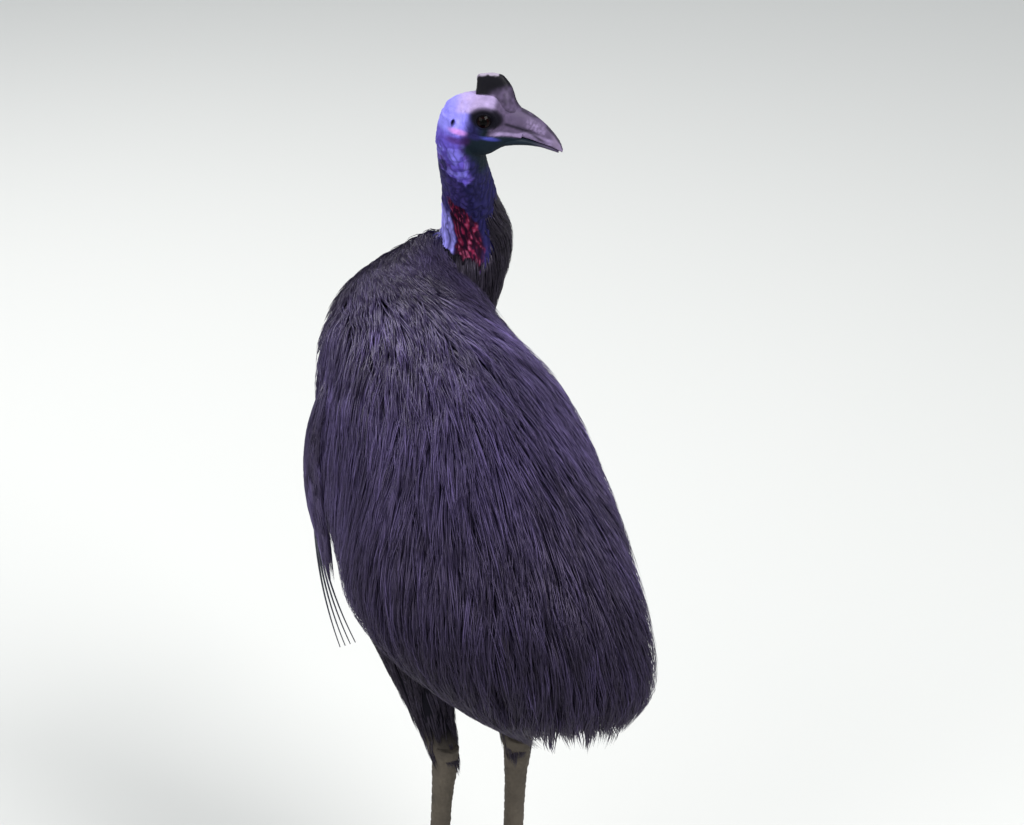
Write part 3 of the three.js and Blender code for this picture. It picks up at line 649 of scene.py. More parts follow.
def strands(name, rings, outward, width, root_uv, tint):
    """A mesh of tapered strands. rings is (count, steps, 3), and the last ring is the tip."""
    count, steps, _ = rings.shape
    way = unit(np.gradient(rings, axis=1))
    across = unit(np.cross(way, outward))
    up = np.cross(across, way)
    half = (width[:, None] * read(TAPER, np.linspace(0, 1, steps)) / 2)[:, :-1, None]
    body, across, up = rings[:, :-1], across[:, :-1], up[:, :-1]
    corners = np.stack([body - across * half, body + across * half, body + up * half * 0.9], 2)
    points = np.concatenate([corners.reshape(count, -1, 3), rings[:, -1:]], 1)
    per = points.shape[1]
    faces = [(0, 2, 1)]
    for i, j, k, n in bands(steps - 1, 3):
        faces += [(i, j, k), (i, k, n)]
    faces += [(per - 4 + j, per - 4 + (j + 1) % 3, per - 1) for j in range(3)]
    index = (np.array(faces) + (np.arange(count) * per)[:, None, None]).reshape(-1)
    mesh = bpy.data.meshes.new(name)
    mesh.vertices.add(count * per)
    mesh.loops.add(len(index))
    mesh.loops.foreach_set("vertex_index", index.astype(np.int32))
    mesh.polygons.add(len(index) // 3)
    mesh.polygons.foreach_set("loop_start", np.arange(0, len(index), 3, dtype=np.int32))
    mesh.update(calc_edges=True)
    # each strand's own small patch, at its root's place on the unwrap of the skin
    local = [(j / 2, i / (steps - 1)) for i in range(steps - 1) for j in range(3)] + [(0.5, 1)]
    uv = root_uv[:, None] + (np.array(local) - 0.5) * PATCH
    uv = np.clip(uv, 0.001, 0.999).reshape(-1, 2)
    layer = mesh.uv_layers.new(name="OFBake")
    layer.data.foreach_set("uv", uv[index].astype(np.float32).ravel())
    thing = add(bpy.data.objects.new(name, mesh))
    move_points(thing, points.reshape(-1, 3))
    shade_smooth(thing)
    paint(thing, np.repeat(tint, per, axis=0))
    return thing


def nudged(spot, a, b, out):
    """How a point of a surface moves from a little before a to a little after it, and for b."""
    to_a = spot(a + NEAR, b, out) - spot(a - NEAR, b, out)
    return to_a, spot(a, b + NEAR, out) - spot(a, b - NEAR, out)


def stretch(spot, a, b):
    """Millimetres over the tips for a step of one in a, and in b."""
    return [np.maximum(np.linalg.norm(move, axis=-1) / (2 * NEAR), 5) for move in nudged(spot, a, b, 1.0)]


def combed(spot):
    """Headings off the line of growing a: to the tail and down in equal parts, and steeper at the rump."""

    def turn(a, b):
        to_a, to_b = [unit(move) for move in nudged(spot, a, b, 1.0)]
        skew = np.sum(to_a * to_b, -1)
        to_tail = 1 - 0.75 * smooth(3.8, 6.6, a)
        way = np.stack([0 * to_tail, to_tail, -np.ones_like(to_tail)], -1)
        along, across = np.sum(to_a * way, -1), np.sum(to_b * way, -1)
        return np.arctan2(across - skew * along, along - skew * across)

    return turn


def spread_roots(spot, low, high, count, keep=lambda a, b: 1.0, turns=(0.0, 2 * np.pi)):
    """Roots spread evenly over a surface: their a and b."""
    a = np.linspace(low, high, 161)
    b = np.linspace(turns[0], turns[1], 121)
    am, bm = (a[1:] + a[:-1]) / 2, (b[1:] + b[:-1]) / 2
    A, B = np.meshgrid(am, bm, indexing="ij")
    da, db = [move / (2 * NEAR) for move in nudged(spot, A, B, 0.0)]
    area = np.linalg.norm(np.cross(da, db), axis=-1) * keep(A, B)
    # a pair of shares that fill the unit square evenly, taken as shares of the area
    k = np.arange(count)
    share_a, share_b = (0.5 + 0.7548776662 * k) % 1, (0.5 + 0.5698402910 * k) % 1
    rows = np.cumsum(area.sum(1))
    i = np.searchsorted(rows / rows[-1], share_a)
    within = np.cumsum(area[i], 1)
    j = (within < (share_b * within[:, -1])[:, None]).sum(1)
    return a[i] + rng.random(count) * (a[1] - a[0]), b[j] + rng.random(count) * (b[1] - b[0])


def courses(spot, turn, a, b, length, swerve):
    """Marks (a, b) of paths over a surface that start at a, b; each strays from the lie by its swerve."""
    marks = [np.stack([a, b], -1)]
    for _ in range(STEPS):
        per_a, per_b = stretch(spot, a, b)
        heading = turn(a, b) + swerve
        a = a + np.cos(heading) * length / STEPS / per_a
        b = b + np.sin(heading) * length / STEPS / per_b
        marks.append(np.stack([a, b], -1))
    return np.stack(marks, 1)


def plumes(name, spot, root_out, turn, roots, length, unwrap, tint, width, each, clump,
           tips=(0.6, 1.0), last=(1e9, 0.0), swerve=0.1):
    """Clumps of strands over a surface: spot(a, b, out) is a point of it, and none goes far past a = last."""
    a, b = roots
    reach = length(a) * rng.uniform(0.85, 1.12, len(a))
    marks = courses(spot, turn, a, b, reach, rng.normal(0, swerve, len(a)))
    end = last[0] + last[1] * rng.normal(0, 1, len(a))
    shade = np.exp(rng.normal(0, MOTTLE, (len(a), 1, 1)))
    count = len(a) * each
    own = rng.normal(0, 1, (len(a), each, 2))
    per_a, per_b = stretch(spot, a, b)
    own[..., 0] *= (clump / per_a)[:, None]
    own[..., 1] *= (clump / per_b)[:, None]
    v = np.linspace(0, 1, STEPS + 1)
    share = rng.uniform(0.72, 1.0, (len(a), each))
    # shorter strands stop part way down the clump's path
    past = marks[:, :, 0] > end[:, None]
    first_past = np.where(past.any(1), past.argmax(1), STEPS + 1)
    k = np.clip(first_past, 1, STEPS)
    rows = np.arange(len(a))
    before, after = marks[rows, k - 1, 0], marks[rows, k, 0]
    part = k - 1 + (end - before) / np.maximum(after - before, 1e-6)
    most = np.where(first_past > STEPS, STEPS, part)
    share = share * np.maximum(most, 0.5)[:, None] / STEPS
    where = v * share[..., None] * STEPS
    i = np.minimum(np.floor(where).astype(int), STEPS - 1)
    f = where - i
    rows = rows[:, None, None]
    path = marks[rows, i] * (1 - f)[..., None] + marks[rows, i + 1] * f[..., None]
    pull = 1 - GATHER * v**1.3
    stray = rng.normal(0, 0.5, (len(a), each, 2)) * own.std(axis=1, keepdims=True)
    path = path + own[:, :, None] * pull[:, None] + stray[:, :, None] * (v**2)[:, None]
    along, round_it = path[..., 0], path[..., 1]
    start = root_out(along[..., :1])
    top = rng.uniform(*tips, (len(a), each))[..., None]
    out = start + (top - start) * np.sin(v * np.pi / 2) ** 0.75
    shape = (count, STEPS + 1, 3)
    rings = spot(along, round_it, out).reshape(shape)
    outward = unit((spot(along, round_it, 3.0) - spot(along, round_it, -1.0)).reshape(shape))
    first = path[:, :, 0].reshape(count, 2)
    wide = width * rng.uniform(0.7, 1.25, count)
    uv = unwrap(*first.T)
    colour = tint(rings[:, 0], *first.T)
    colour = (colour.reshape(len(a), each, 3) * shade).reshape(count, 3)
    things = []
    parts = math.ceil(count / MOST)
    order = np.argsort(first[:, 0], kind="stable")
    for k, block in enumerate(np.array_split(order, parts)):
        label = name if parts == 1 else f"{name}_{k + 1}"
        thing = strands(label, rings[block], outward[block], wide[block], uv[block], colour[block])
        finish(thing, coat_look)
        things.append(thing)
    return things


PLUME_BLACK = (0.009, 0.0075, 0.013)
PLUME_VIOLET = (0.031, 0.023, 0.059)
# place along the trunk, and how bright its plumes are painted there: painted sheen over the back and
# shoulders, painted shade toward the rump
PLUME_SHEEN_AND_SHADE = [[0, 1.0], [1.2, 1.15], [2.5, 1.9], [4, 1.8], [5.2, 1.2], [6.5, 0.6], [7.5, 0.75], [8.5, 0.9]]


def black(points, a, b):
    """Plain black plumes, as on the neck and legs."""
    return np.array(PLUME_BLACK) * (0.6 + 0.8 * noise(points, 30))[..., None]


def violet_black(points, a, b):
    """The plumes of trunk and wings: black with a violet tone, with painted sheen on the back and painted
    shade to the rump and below.
    """
    shade = 0.55 + 0.6 * noise(points, 55) + 0.5 * noise(points, 12)
    # painted shade: darker toward the rump and on the underside, where less light falls
    painted_light_share = (1 - 0.7 * smooth(5.6, 8.2, a)) * (1 - 0.6 * smooth(0.2, -0.7, np.cos(b)))
    colour = np.array(PLUME_VIOLET) * shade[..., None]
    return colour * ((0.35 + 0.65 * painted_light_share) * read(PLUME_SHEEN_AND_SHADE, a))[..., None]


def unwrap_to(end):
    """Places on the unwrap of a surface whose a runs from 0 to end."""
    return lambda a, b: np.stack([(b / (2 * np.pi)) % 1, np.clip(a / end, 0, 1)], -1) * 0.98 + 0.01


# Materials
def material(name, roughness, specular):
    m = bpy.data.materials.new(name)
    m.use_nodes = True
    shader = m.node_tree.nodes["Principled BSDF"]
    shader.inputs["Roughness"].default_value = roughness
    shader.inputs["Specular IOR Level"].default_value = specular
    return m, shader


def node(m, kind, **values):
    n = m.node_tree.nodes.new(kind)
    for key, value in values.items():
        if key in n.inputs:
            n.inputs[key].default_value = value
        else:
            setattr(n, key, value)
    return n


def link(m, a, b):
    m.node_tree.links.new(a, b)


def tinted(name, roughness, specular, grain, spread, bump=(0, 0), gloss=(1, 1, 1)):
    """A finish whose colour is the tint attribute, varied by a grain. bump is a strength and a scale."""
    m, shader = material(name, roughness, specular)
    shader.inputs["Specular Tint"].default_value = (*gloss, 1)
    tint = node(m, "ShaderNodeAttribute", attribute_name="tint")
    place = node(m, "ShaderNodeTexCoord")
    cloud = node(m, "ShaderNodeTexNoise", Scale=grain, Detail=4.0)
    link(m, place.outputs["Object"], cloud.inputs["Vector"])
    share = node(m, "ShaderNodeMapRange")
    share.inputs["To Min"].default_value = spread[0]
    share.inputs["To Max"].default_value = spread[1]
    link(m, cloud.outputs["Fac"], share.inputs["Value"])
    mix = node(m, "ShaderNodeVectorMath", operation="MULTIPLY")
    link(m, tint.outputs["Color"], mix.inputs[0])
    link(m, share.outputs["Result"], mix.inputs[1])
    link(m, mix.outputs["Vector"], shader.inputs["Base Color"])
    if bump[0]:
        cells = node(m, "ShaderNodeTexVoronoi", Scale=bump[1])
        link(m, place.outputs["Object"], cells.inputs["Vector"])
        lump = node(m, "ShaderNodeBump", Strength=bump[0], Distance=0.0006)
        link(m, cells.outputs["Distance"], lump.inputs["Height"])
        link(m, lump.outputs["Normal"], shader.inputs["Normal"])
    return m


# Camera, floor and light
CAMERA = {"heading": 17, "tilt": 27, "distance": 7000, "right": 83.2, "above": 630.4, "lens": 193.5}
FLOOR_COLOUR, FLOOR_HALF = (0.62, 0.62, 0.60, 1), 30
SKY_COLOUR, SKY_STRENGTH = (0.9, 0.95, 1.0, 1), 0.55
LAMPS_AIM = (0, 0, 0.7)
# place, size and power
LAMPS = {
    "key": ((-1.6, 2.6, 3.6), 2.2, 190),
    "fill": ((2.8, 1.6, 2.4), 2.5, 60),
    "rim": ((0.4, -2.8, 3.0), 2.0, 90),
}


def point(thing, way):
    thing.rotation_mode = "QUATERNION"
    thing.rotation_quaternion = way.to_track_quat("-Z", "Y")


def make_stage():
    heading, tilt = math.radians(CAMERA["heading"]), math.radians(CAMERA["tilt"])
    ahead = np.array([-math.sin(heading), -math.cos(heading), 0])
    right = np.array([-math.cos(heading), math.sin(heading), 0])
    view = ahead * math.cos(tilt) - np.array([0, 0, math.sin(tilt)])
    above = np.cross(right, view)
    eye = -CAMERA["distance"] * view
    aim = right * CAMERA["right"] + above * CAMERA["above"]
    data = bpy.data.cameras.new("camera")
    data.lens = CAMERA["lens"]
    data.clip_end = 100
    camera = add(bpy.data.objects.new("camera", data))
    camera.location = Vector(((eye + SHIFT) / 1000).tolist())
    point(camera, Vector(unit(aim - eye).tolist()))
    bpy.context.scene.camera = camera

    mesh = bpy.data.meshes.new("ground")
    corners = [(FLOOR_HALF * x, FLOOR_HALF * y, 0) for x, y in ((-1, -1), (1, -1), (1, 1), (-1, 1))]
    mesh.from_pydata(corners, [], [(0, 1, 2, 3)])
    ground = add(bpy.data.objects.new("ground", mesh))
    m, shader = material("pale_ground", 0.9, 0.2)
    shader.inputs["Base Color"].default_value = FLOOR_COLOUR
    ground.data.materials.append(m)

    world = bpy.data.worlds.new("soft")
    world.use_nodes = True
    sky = world.node_tree.nodes["Background"]
    sky.inputs["Color"].default_value = SKY_COLOUR
    sky.inputs["Strength"].default_value = SKY_STRENGTH
    bpy.context.scene.world = world
    for name, (place, size, power) in LAMPS.items():
        lamp = bpy.data.lights.new(name, "AREA")
        lamp.size = size
        lamp.energy = power
        thing = add(bpy.data.objects.new(name, lamp))
        thing.location = place
        point(thing, Vector(LAMPS_AIM) - Vector(place))
    bpy.context.scene.view_settings.view_transform = "Standard"


# Markings, with painted highlights and painted shade
VIOLET = (0.115, 0.080, 0.46)
PERIWINKLE = (0.24, 0.22, 0.76)
NAVY = (0.016, 0.014, 0.068)
DUSK = (0.042, 0.030, 0.14)
INK = (0.005, 0.0045, 0.008)
# the throat's own dark navy, used also as painted shade under the jaw and on the lower bill
THROAT_AND_SHADE = (0.007, 0.013, 0.020)
PLUM = (0.075, 0.025, 0.14)
LAVENDER = (0.40, 0.31, 0.54)
PINK = (0.54, 0.24, 0.64)
RED = (0.17, 0.012, 0.042)
MAROON = (0.022, 0.004, 0.014)
ROSE = (0.46, 0.10, 0.20)
PALE_BLUE = (0.33, 0.30, 0.86)
BLUE = (0.055, 0.060, 0.33)
DUSTY = (0.085, 0.062, 0.115)
PALE_DUST = (0.29, 0.22, 0.39)
HORNY = (0.085, 0.072, 0.058)
DARK_PLUM = (0.03, 0.010, 0.06)
CASQUE_BLACK = (0.006, 0.0055, 0.008)
# painted highlight along the top edge of the casque
CASQUE_RIM_HIGHLIGHT = (0.37, 0.32, 0.41)
BILL_TIP = (0.17, 0.13, 0.21)
BILL_CREST = (0.025, 0.02, 0.032)
CLAW_HORN = (0.045, 0.037, 0.030)
SHAFT = (0.022, 0.024, 0.045)
PUPIL = (0.001, 0.001, 0.001)
IRIS = (0.0018, 0.001, 0.001)
IRIS_RING = (0.006, 0.001, 0.001)
EYE_EDGE = (0.003, 0.002, 0.003)


def plain(colour, points):
    return np.tile(np.array(colour), (len(points), 1))


def blend(base, colour, share):
    return base * (1 - share[:, None]) + np.array(colour) * share[:, None]


# How far up the neck, and how far round it the red skin starts and ends, as a share of half way
RED_FRONT = [
    [1.7, 0.59], [2.0, 0.56], [2.4, 0.515], [2.75, 0.49], [3.05, 0.505],
    [3.4, 0.53], [3.66, 0.60], [3.8, 0.68], [3.95, 0.76],
]
RED_BEHIND = [[1.6, 0.82], [2.0, 0.805], [2.4, 0.775], [2.95, 0.755], [3.3, 0.765], [3.95, 0.80]]
# How far round the neck, and how far down it the violet skin reaches
VIOLET_FOOT = [[0.35, 4.75], [0.47, 4.5], [0.6, 4.85], [0.75, 5.15], [1.0, 5.35]]
# How far round the neck, and how far up it the plumage reaches
BARE_FROM = [[0.5, 1.62], [0.6, 1.76], [0.75, 1.95], [0.95, 2.04]]
# f, and how far over the line of the mouth the pale skin reaches
PALE_RISE = [[44, 4.5], [56, 8]]


def fine_creases(p):
    """Upright creases in the bare skin of the lower neck, 0 in a crease and over 1 on a ridge."""
    return folds(p * np.array([1, 1, 0.3]) + 1.5 * noise(p, 7)[:, None], 4.0)


def neck_tint(q, near, around):
    """The bare neck: violet above, navy in front and in a band, red and pale blue at the sides below, with
    painted shade in its creases.
    """
    back = np.abs(around) / np.pi + 0.08 * (noise(q, 9) - 0.5)
    t = blend(plain(NAVY, q), DUSK, smooth(0.45, 0.62, back) * (0.5 + 0.5 * noise(q, 8)))
    # front of the upper neck under the jaw: dark throat with painted shade
    t = blend(t, THROAT_AND_SHADE, (1 - smooth(0.18, 0.3, back)) * smooth(4.4, 5.0, near))
    ragged = near + 0.7 * (noise(q + 40, 9) - 0.5)
    foot = read(VIOLET_FOOT, back)
    violet = smooth(foot, foot + 0.12, ragged) * smooth(0.34, 0.44, back)
    t = blend(t, VIOLET, violet)
    t = blend(t, PLUM, 0.5 * violet * smooth(0.5, 0.65, noise(q + 90, 11)))
    t = blend(t, PERIWINKLE, 0.5 * violet * smooth(0.5, 0.65, noise(q, 7)))
    wavy = near + 0.3 * (noise(q + 20, 8) - 0.5)
    starts, ends = read(RED_FRONT, near), read(RED_BEHIND, near)
    # a thin line of painted shade in a fold of the pale skin behind the red
    fold = bell(back - ends - 0.10, 0.016)
    pale = smooth(ends + 0.01, ends + 0.04, back) * (1 - smooth(3.05, 3.4, wavy))
    t = blend(t, PALE_BLUE, pale * (1 - 0.75 * fold))
    ridge = fine_creases(q)
    upright = noise(np.stack([np.abs(around) * 45, near * 13, np.zeros(len(q))], -1), 2.2)
    red = smooth(starts - 0.03, starts + 0.02, back) * (1 - smooth(ends - 0.01, ends + 0.02, back))
    red = red * (1 - smooth(3.75, 4.05, wavy))
    # maroon stays in the creases and red lies on the ridges: the red skin's own colour, with painted shade in
    # the creases
    t = blend(t, MAROON, red * 0.95)
    t = blend(t, RED, red * smooth(0.35, 0.65, upright) * (0.4 + 0.6 * smooth(0.2, 0.6, ridge)))
    t = blend(t, ROSE, red * smooth(0.62, 0.85, upright) * smooth(0.35, 0.6, noise(q, 5)) * 0.8)
    # painted shade: the skin is darker in its creases and lighter on the ridges
    t = t * (0.55 + 0.6 * np.clip(ridge, 0, 1))[:, None]
    return blend(t, INK, smooth(0.06, -0.06, wavy - read(BARE_FROM, back)))


def face_tint(t, q, f, u, where, outer):
    """Dusty face and bill: pale along the mouth line, painted shade in the groove, dark throat with painted
    shade under the mouth line, and painted highlights on the bill's upper side.
    """
    over = u - read(MOUTH, f)
    groove = read(GROOVE, f)
    grain = noise(q, 3)
    t = blend(t, DUSTY, where * smooth(-1, 1, over) * (0.75 + 0.5 * grain))
    # under the mouth line: the dark throat, with painted shade of the jaw
    t = blend(t, THROAT_AND_SHADE, where * smooth(0, -2, over))
    low = smooth(0.0, 0.8, over) * smooth(3, 0, over - read(PALE_RISE, f))
    t = blend(t, PALE_DUST, where * low * smooth(10, 24, f) * (0.55 + 0.5 * grain) * outer)
    # painted highlights: light mottles on the upper side of the bill, between the groove and the top
    painted_highlight_grain = 0.25 + 0.75 * smooth(0.35, 0.75, noise(q + 60, 2.0))
    bill_highlights = painted_highlight_grain * smooth(46, 62, f) * smooth(84, 72, f)
    bill_highlights = where * bill_highlights * smooth(1, 6, u - groove) * smooth(24, 14, u + 0.35 * (f - 40))
    t = blend(t, PALE_DUST, bill_highlights * 0.7)
    # painted shade along the groove of the upper bill
    groove_shade = bell(u - groove, 2.3) * smooth(22, 30, f) * smooth(88, 74, f)
    return blend(t, INK, where * groove_shade * 0.85 * outer)


def head_tint(t, q):
    """The head's markings over those of the neck, with painted shade in the ear holes and under the jaw: f to
    the bill's tip, s to its left, u up.
    """
    f, s, u = head_of(q)

    def spot(*place):
        return mark(f, u, *place)

    head = smooth(-62, -46, u + 0.35 * f)
    outer = np.abs(s) > 4
    blotch = noise(q, 6)
    t = blend(t, PERIWINKLE, head * (1 - smooth(-28, -12, f)) * smooth(-32, -20, u))
    t = blend(t, VIOLET, head * (1 - smooth(-24, -14, f)) * (1 - smooth(-32, -20, u)) * 0.8)
    t = blend(t, PLUM, spot(-27, -33, 12, 5) * outer * 0.7)
    # dark throat, with painted shade under the head
    t = blend(t, THROAT_AND_SHADE, head * smooth(-20, -8, f) * (1 - smooth(-24, -16, u)))
    t = blend(t, DARK_PLUM, spot(-15, -30, 7, 8) * outer * 0.8)
    crown = smooth(-40, -30, f) * smooth(17, 3, f + 5 * (blotch - 0.5)) * smooth(-2, 3, u - 10.7 - 0.3 * f)
    t = blend(t, LAVENDER, head * crown * (0.7 + 0.3 * blotch))
    t = blend(t, PINK, spot(-27, -20.5, 11, 4.0) * outer * 0.9)
    t = face_tint(t, q, f, u, head * smooth(6, 14, f), outer)
    t = blend(t, NAVY, spot(-5, -21.5, 9, 4.5) * outer)
    t = blend(t, BLUE, spot(14, -20.5, 12, 2.6) * outer * 0.8)
    t = blend(t, INK, spot(3, 4, 22, 13.2, 6))
    # painted shade inside the ear hole
    t = blend(t, INK, spot(EAR[0], EAR[2], 2.2, 5.4) * outer)
    return blend(t, PALE_BLUE, spot(EAR[0] + 6, EAR[2], 3, 6) * outer * 0.8), head


def skin_tint(p):
    """The markings of the bare skin, with painted shade in its creases and hollows: black under the plumage,
    blues and red on the neck and head.
    """
    up = p[:, 2]
    tint = blend(plain(INK, p), HORNY, (1 - smooth(285, 325, up)) * (0.75 + 0.5 * noise(p, 14)))
    upper = np.where(up > 740)[0]
    q = p[upper]
    near, around = neck_place(q)
    t, head = head_tint(neck_tint(q, near, around), q)
    t = blend(t, INK, 1 - smooth(0.9, 1.3, near))
    off = np.linalg.norm(q - neck_frame(near)[0], axis=-1)
    tint[upper] = blend(t, INK, smooth(54, 58, off) * (1 - head))
    return tint


# Eyes, horn and claws
SIDES = (("left", 1), ("right", -1))


def paint(thing, colours):
    tint = thing.data.color_attributes.new("tint", "FLOAT_COLOR", "POINT")
    rgba = np.ones((len(thing.data.vertices), 4), np.float32)
    rgba[:, :3] = colours
    tint.data.foreach_set("color", rgba.ravel())


def finish(thing, look):
    thing.data.materials.clear()
    thing.data.materials.append(look)
    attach(thing, "root")


def grid_piece(name, rings, look):
    thing = new_object(name, *tube(rings))
    shade_smooth(thing)
    finish(thing, look)
    return thing


def make_eye(label, m):
    v = np.linspace(0, np.pi, 40)
    r = EYE_RADIUS * (1 + 0.035 * np.exp(-((v / 0.42) ** 4)))
    out = EYE_SIDE + r * np.cos(v)
    ring = (r * np.sin(v))[:, None]
    rings = head_at(ring * np.cos(circle(48)), m * out[:, None], ring * np.sin(circle(48)))
    eye = grid_piece(f"eyeball_{label}", rings, eye_look)
    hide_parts(f"eye_{label}")
    f, _, u = head_of(points_of(eye))
    off = np.hypot(f, u)
    tint = blend(plain(IRIS, off), IRIS_RING, smooth(4.4, 5.6, off) * (1 - smooth(6.0, 7.4, off)))
    tint = blend(tint, PUPIL, 1 - smooth(3.9, 4.4, off))
    paint(eye, blend(tint, EYE_EDGE, smooth(7.4, 8.2, off)))


# across and up one half of the casque's section, as shares of its half width and height
CASQUE_HALF = [[0, 1], [0.28, 0.9], [0.62, 0.62], [1, 0.25], [1.05, 0]]


def make_casque():
    f, top, bottom, wide = sampled(CASQUE, 90)
    half = sampled(CASQUE_HALF, 28)[..., 0].T
    half[:, 0] = np.maximum(half[:, 0], 0)
    section = np.vstack([half, (half * [-1, 1])[::-1][:-1]])
    s = section[:, 0] * wide * (0.66 + 0.34 * smooth(4, 26, f))
    u = bottom + section[:, 1] * (top - bottom)
    lean = 4.5 * smooth(46, 30, u) * smooth(-2, -17, f)
    rings = head_at(f + lean, s, u)
    dent = noise(rings, 9) + 0.5 * noise(rings, 4) - 0.75
    rings = rings + unit(rings - head_at(f, 0.0, bottom + 8)) * (dent * 0.7)[..., None]
    casque = grid_piece("casque_horn", rings, horn_look)
    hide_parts("casque")
    p = points_of(casque)
    f, _, u = head_of(p)
    under = read([row[:2] for row in CASQUE], f) - u
    ragged = under + 5 * noise(p + 9, 8) - 2
    dusty = smooth(-8, 8, f) * smooth(6, -6, u - 33 - 0.6 * f) * smooth(-1, 6, ragged)
    tint = blend(plain(CASQUE_BLACK, p), DUSTY, dusty * (0.35 + 0.8 * noise(p, 3.5)))
    tint = blend(tint, LAVENDER, smooth(1.5, -1.5, u - 28.5 - 0.27 * f) * smooth(8, 0, f))
    # painted highlight: a lumpy light band along the rear part of the casque's top edge
    rim = smooth(3.6, 1.6, under + 3 * noise(p + 25, 4) - 1.5)
    rim = rim * smooth(9, 3, f) * smooth(0.15, 0.4, noise(p, 5))
    paint(casque, blend(tint, CASQUE_RIM_HIGHLIGHT, rim * 0.9))


def bill_half(name, rows, count, relief, colours):
    """One half of the bill: relief is how far its surface moves out, and colours its tint."""
    rings = head_rings(rows, count, 56, 0.85)
    f, s, u = head_of(rings)
    out = unit(rings - rings.mean(1, keepdims=True))
    move = relief(0.35 * (noise(rings, 5) - 0.5), f, s, u)
    piece = grid_piece(f"{name}_horn", rings + out * move[..., None], bill_look)
    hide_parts(name)
    p = points_of(piece)
    paint(piece, colours(p, *head_of(p)))


def make_bill():
    def upper_relief(move, f, s, u):
        nostril = mark(f, u + 3 + 0.3 * (f - 64), 64, 0, 6, 2.0)
        move = move - 2.4 * nostril * (np.abs(s) > 2)
        groove = bell(u + 1.2 + 0.16 * (f - 50), 2.0) * (1 - smooth(70, 88, f))
        move = move - 0.9 * groove * (np.abs(s) > 2)
        bottom = sampled(BILL_UPPER, len(f))[2]
        return move + 0.45 * (bell(u - bottom - 2.0, 1.3) * (np.abs(s) > 1.5))

    def upper_tint(p, f, s, u):
        tint = face_tint(plain(DUSTY, p), p, f, u, np.ones(len(p)), np.abs(s) > 1.5)
        tint = blend(tint, BILL_TIP, smooth(84, 94, f) * (0.5 + 0.5 * noise(p, 4)))
        crest = read([row[:2] for row in BILL_UPPER], f)
        ridge = smooth(3, 1, crest - u) * smooth(0.3, 0.6, noise(p + 15, 7))
        return blend(tint, BILL_CREST, ridge * 0.8)

    def lower_tint(p, f, s, u):
        # the lower bill is painted dark as the shade under the upper bill, dustier toward its tip
        tint = plain(THROAT_AND_SHADE, p) * (0.7 + 0.6 * noise(p, 3))[:, None]
        return blend(tint, DUSTY, smooth(62, 90, f) * 0.6)

    bill_half("bill_upper", BILL_UPPER, 90, upper_relief, upper_tint)
    bill_half("bill_lower", BILL_LOWER, 70, lambda move, f, s, u: move, lower_tint)


# share of the claw's length, and its height there
CLAW_PATH = [(0.35, 9.2), (0.75, 6.2), (1, 3.2)]


def make_claws():
    for label, m in SIDES:
        for name, (yaw, reach, _, end, claw, _) in TOES.items():
            path = [[*toe_place(yaw, 0.88, reach), 10]]
            for share, height in CLAW_PATH:
                path.append([*toe_place(yaw, 1 + share * (claw / reach), reach), height])
            v = np.linspace(0, 1, 40)
            radius = np.maximum(end * 0.60 * (1 - v) ** 0.7, 0.25)
            rows = through(path)(v * 3)
            rings = ellipse_rings(np.column_stack([rows, radius * 0.85, radius]), 40, 28)
            rings[..., 2] = np.maximum(rings[..., 2], 0.4)
            piece = grid_piece(f"claw_{name}_{label}_horn", rings * [m, 1, 1], claw_look)
            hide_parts(f"claw_{name}_{label}")
            p = points_of(piece)
            shade = 0.6 + 0.8 * noise(p * np.array([1.5, 0.3, 1.5]), 4)
            paint(piece, np.array(CLAW_HORN) * shade[:, None])


# Plumage
# place along the trunk, neck or limb, and how long the plumes are there
TRUNK_LENGTH = [[-0.7, 48], [0.5, 70], [2, 100], [4, 130], [6, 165], [8, 190]]
NECK_LENGTH = [[0.5, 85], [2, 60], [3.9, 34]]
THIGH_LENGTH = [[0, 85], [3.5, 60], [5, 26]]
WING_LENGTH = [[0, 80], [4, 80]]
# place up the neck, and how far round it the plumes reach, as a share of half way
NECK_EDGE = [[1.9, 1.0], [2.05, 0.5], [2.2, 0.42], [2.9, 0.38], [3.5, 0.12]]


def on_limb(name, rows, depth, reach, count, length, width, clump, colour):
    """Plumes down a limb on both sides of the bird."""
    row = through(rows)

    def spot(u, around, out):
        here, front, side, deep, wide = limb_frame(row, u)
        inset = depth / 2 * (1 - out)
        return round_at(here, front, side, deep - inset, wide - inset, around)

    roots = spread_roots(spot, *reach, count)
    left = plumes(f"{name}_left", spot, lambda u: np.full_like(u, -0.3), lambda u, b: np.zeros_like(u), roots,
                  lambda u: read(length, u), unwrap_to(len(rows) - 1), colour,
                  width=width, each=13, clump=clump)
    for k, thing in enumerate(left):
        other = mirror_copy(thing)
        other.name = f"{name}_right_{k + 1}"
        finish(other, coat_look)


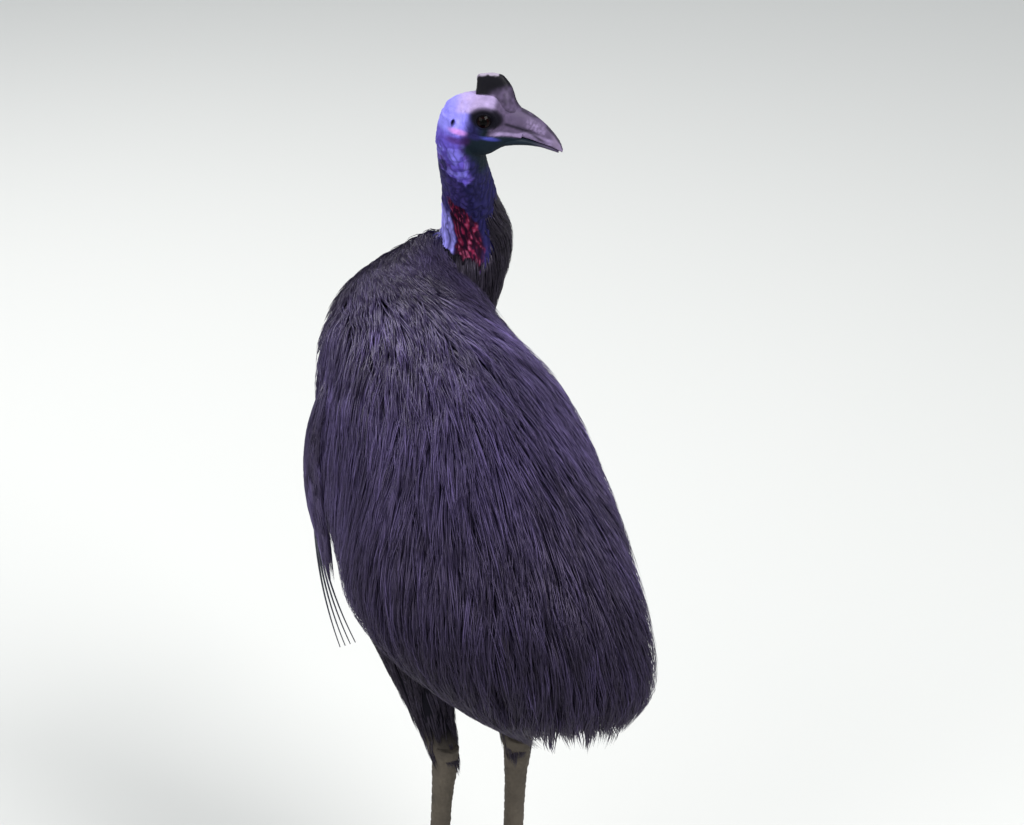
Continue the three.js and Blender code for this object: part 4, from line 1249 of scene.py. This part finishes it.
def make_plumage():
    def trunk_spread(name, low, high, count, **sizes):
        roots = spread_roots(coat, low, high, count)
        plumes(name, coat, lambda a: skin_out(a) - 0.05, combed(coat), roots,
               lambda a: read(TRUNK_LENGTH, a), unwrap_to(TRUNK_END), violet_black, **sizes)

    trunk_spread("plume", -0.6, 8.4, 2850, width=1.7, each=15, clump=6.0, tips=(0.5, 1.08), last=(9.05, 0.2))
    trunk_spread("collar_plume", -0.75, 0.9, 330, width=1.4, each=13, clump=4.5, tips=(0.6, 1.2))

    def down(v, b, out):
        return neck_spot(-v, b, out)

    def in_edge(v, b):
        return np.abs(b) < read(NECK_EDGE, -v) * np.pi

    roots = spread_roots(down, -3.5, -0.3, 640, in_edge, (-np.pi, np.pi))
    plumes("neck_plume", down, lambda v: np.full_like(v, -0.1), lambda v, b: 0.1 * np.sin(9 * v), roots,
           lambda v: read(NECK_LENGTH, -v), unwrap_to(1 - len(NECK)), black,
           width=1.2, each=12, clump=3.0, tips=(0.4, 1.0), swerve=0.06)
    on_limb("thigh_plume", DRUMSTICK, depth=14, reach=(0.8, 4.75), count=300, length=THIGH_LENGTH,
            width=1.5, clump=4.5, colour=black)
    on_limb("wing_plume", WING, depth=5, reach=(0.4, 3.7), count=150, length=WING_LENGTH,
            width=1.5, clump=4.0, colour=violet_black)


def make_quills():
    """Bare shafts that hang from the end of each wing."""
    side, fore, up = WING[-2][:3]
    v = np.linspace(0, 1, 30)
    radius = QUILL["radius"] * (1 - 0.65 * v)
    for label, m in SIDES:
        for i in range(QUILL["count"]):
            splay = (QUILL["spread"] * i + QUILL["splay"]) * 1.5 * v * v
            inner = side + 2 - QUILL["inward"] * v * v
            ahead = fore - 8 + QUILL["spread"] * (1 - i) * 0.6 - splay
            height = up - 22 - (QUILL["length"] - 12 * i) * v
            rings = ellipse_rings(np.column_stack([inner, ahead, height, radius, radius]), 30, 10) * [m, 1, 1]
            quill = grid_piece(f"quill_{label}_{i + 1}", rings, claw_look)
            paint(quill, SHAFT)
            if i == 0:
                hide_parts(f"wing_{label}")


make_stage()
coat_look = tinted("plumage", 0.45, 0.6, grain=60, spread=(0.75, 1.3), gloss=(0.86, 0.73, 1.0))
skin_look = tinted("skin", 0.62, 0.05, grain=220, spread=(0.8, 1.2), bump=(0.3, 900))
horn_look = tinted("horn", 0.38, 0.07, grain=150, spread=(0.8, 1.2), bump=(0.12, 300))
bill_look = tinted("bill", 0.5, 0.12, grain=150, spread=(0.8, 1.2), bump=(0.15, 400))
claw_look = tinted("claw", 0.35, 0.5, grain=200, spread=(0.7, 1.3))
eye_look = tinted("eye", 0.10, 0.06, grain=800, spread=(0.8, 1.2))

skin = make_skin()
paint(skin, skin_tint(points_of(skin)))
finish(skin, skin_look)
pairs = ("thigh", "shank", "toe_inner", "toe_middle", "toe_outer")
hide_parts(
    "head", "neck_upper", "neck_lower", "torso", "tail",
    *[f"{part}_{side}" for part in pairs for side, _ in SIDES],
)
for label, m in SIDES:
    make_eye(label, m)
make_casque()
make_bill()
make_claws()
make_plumage()
make_quills()
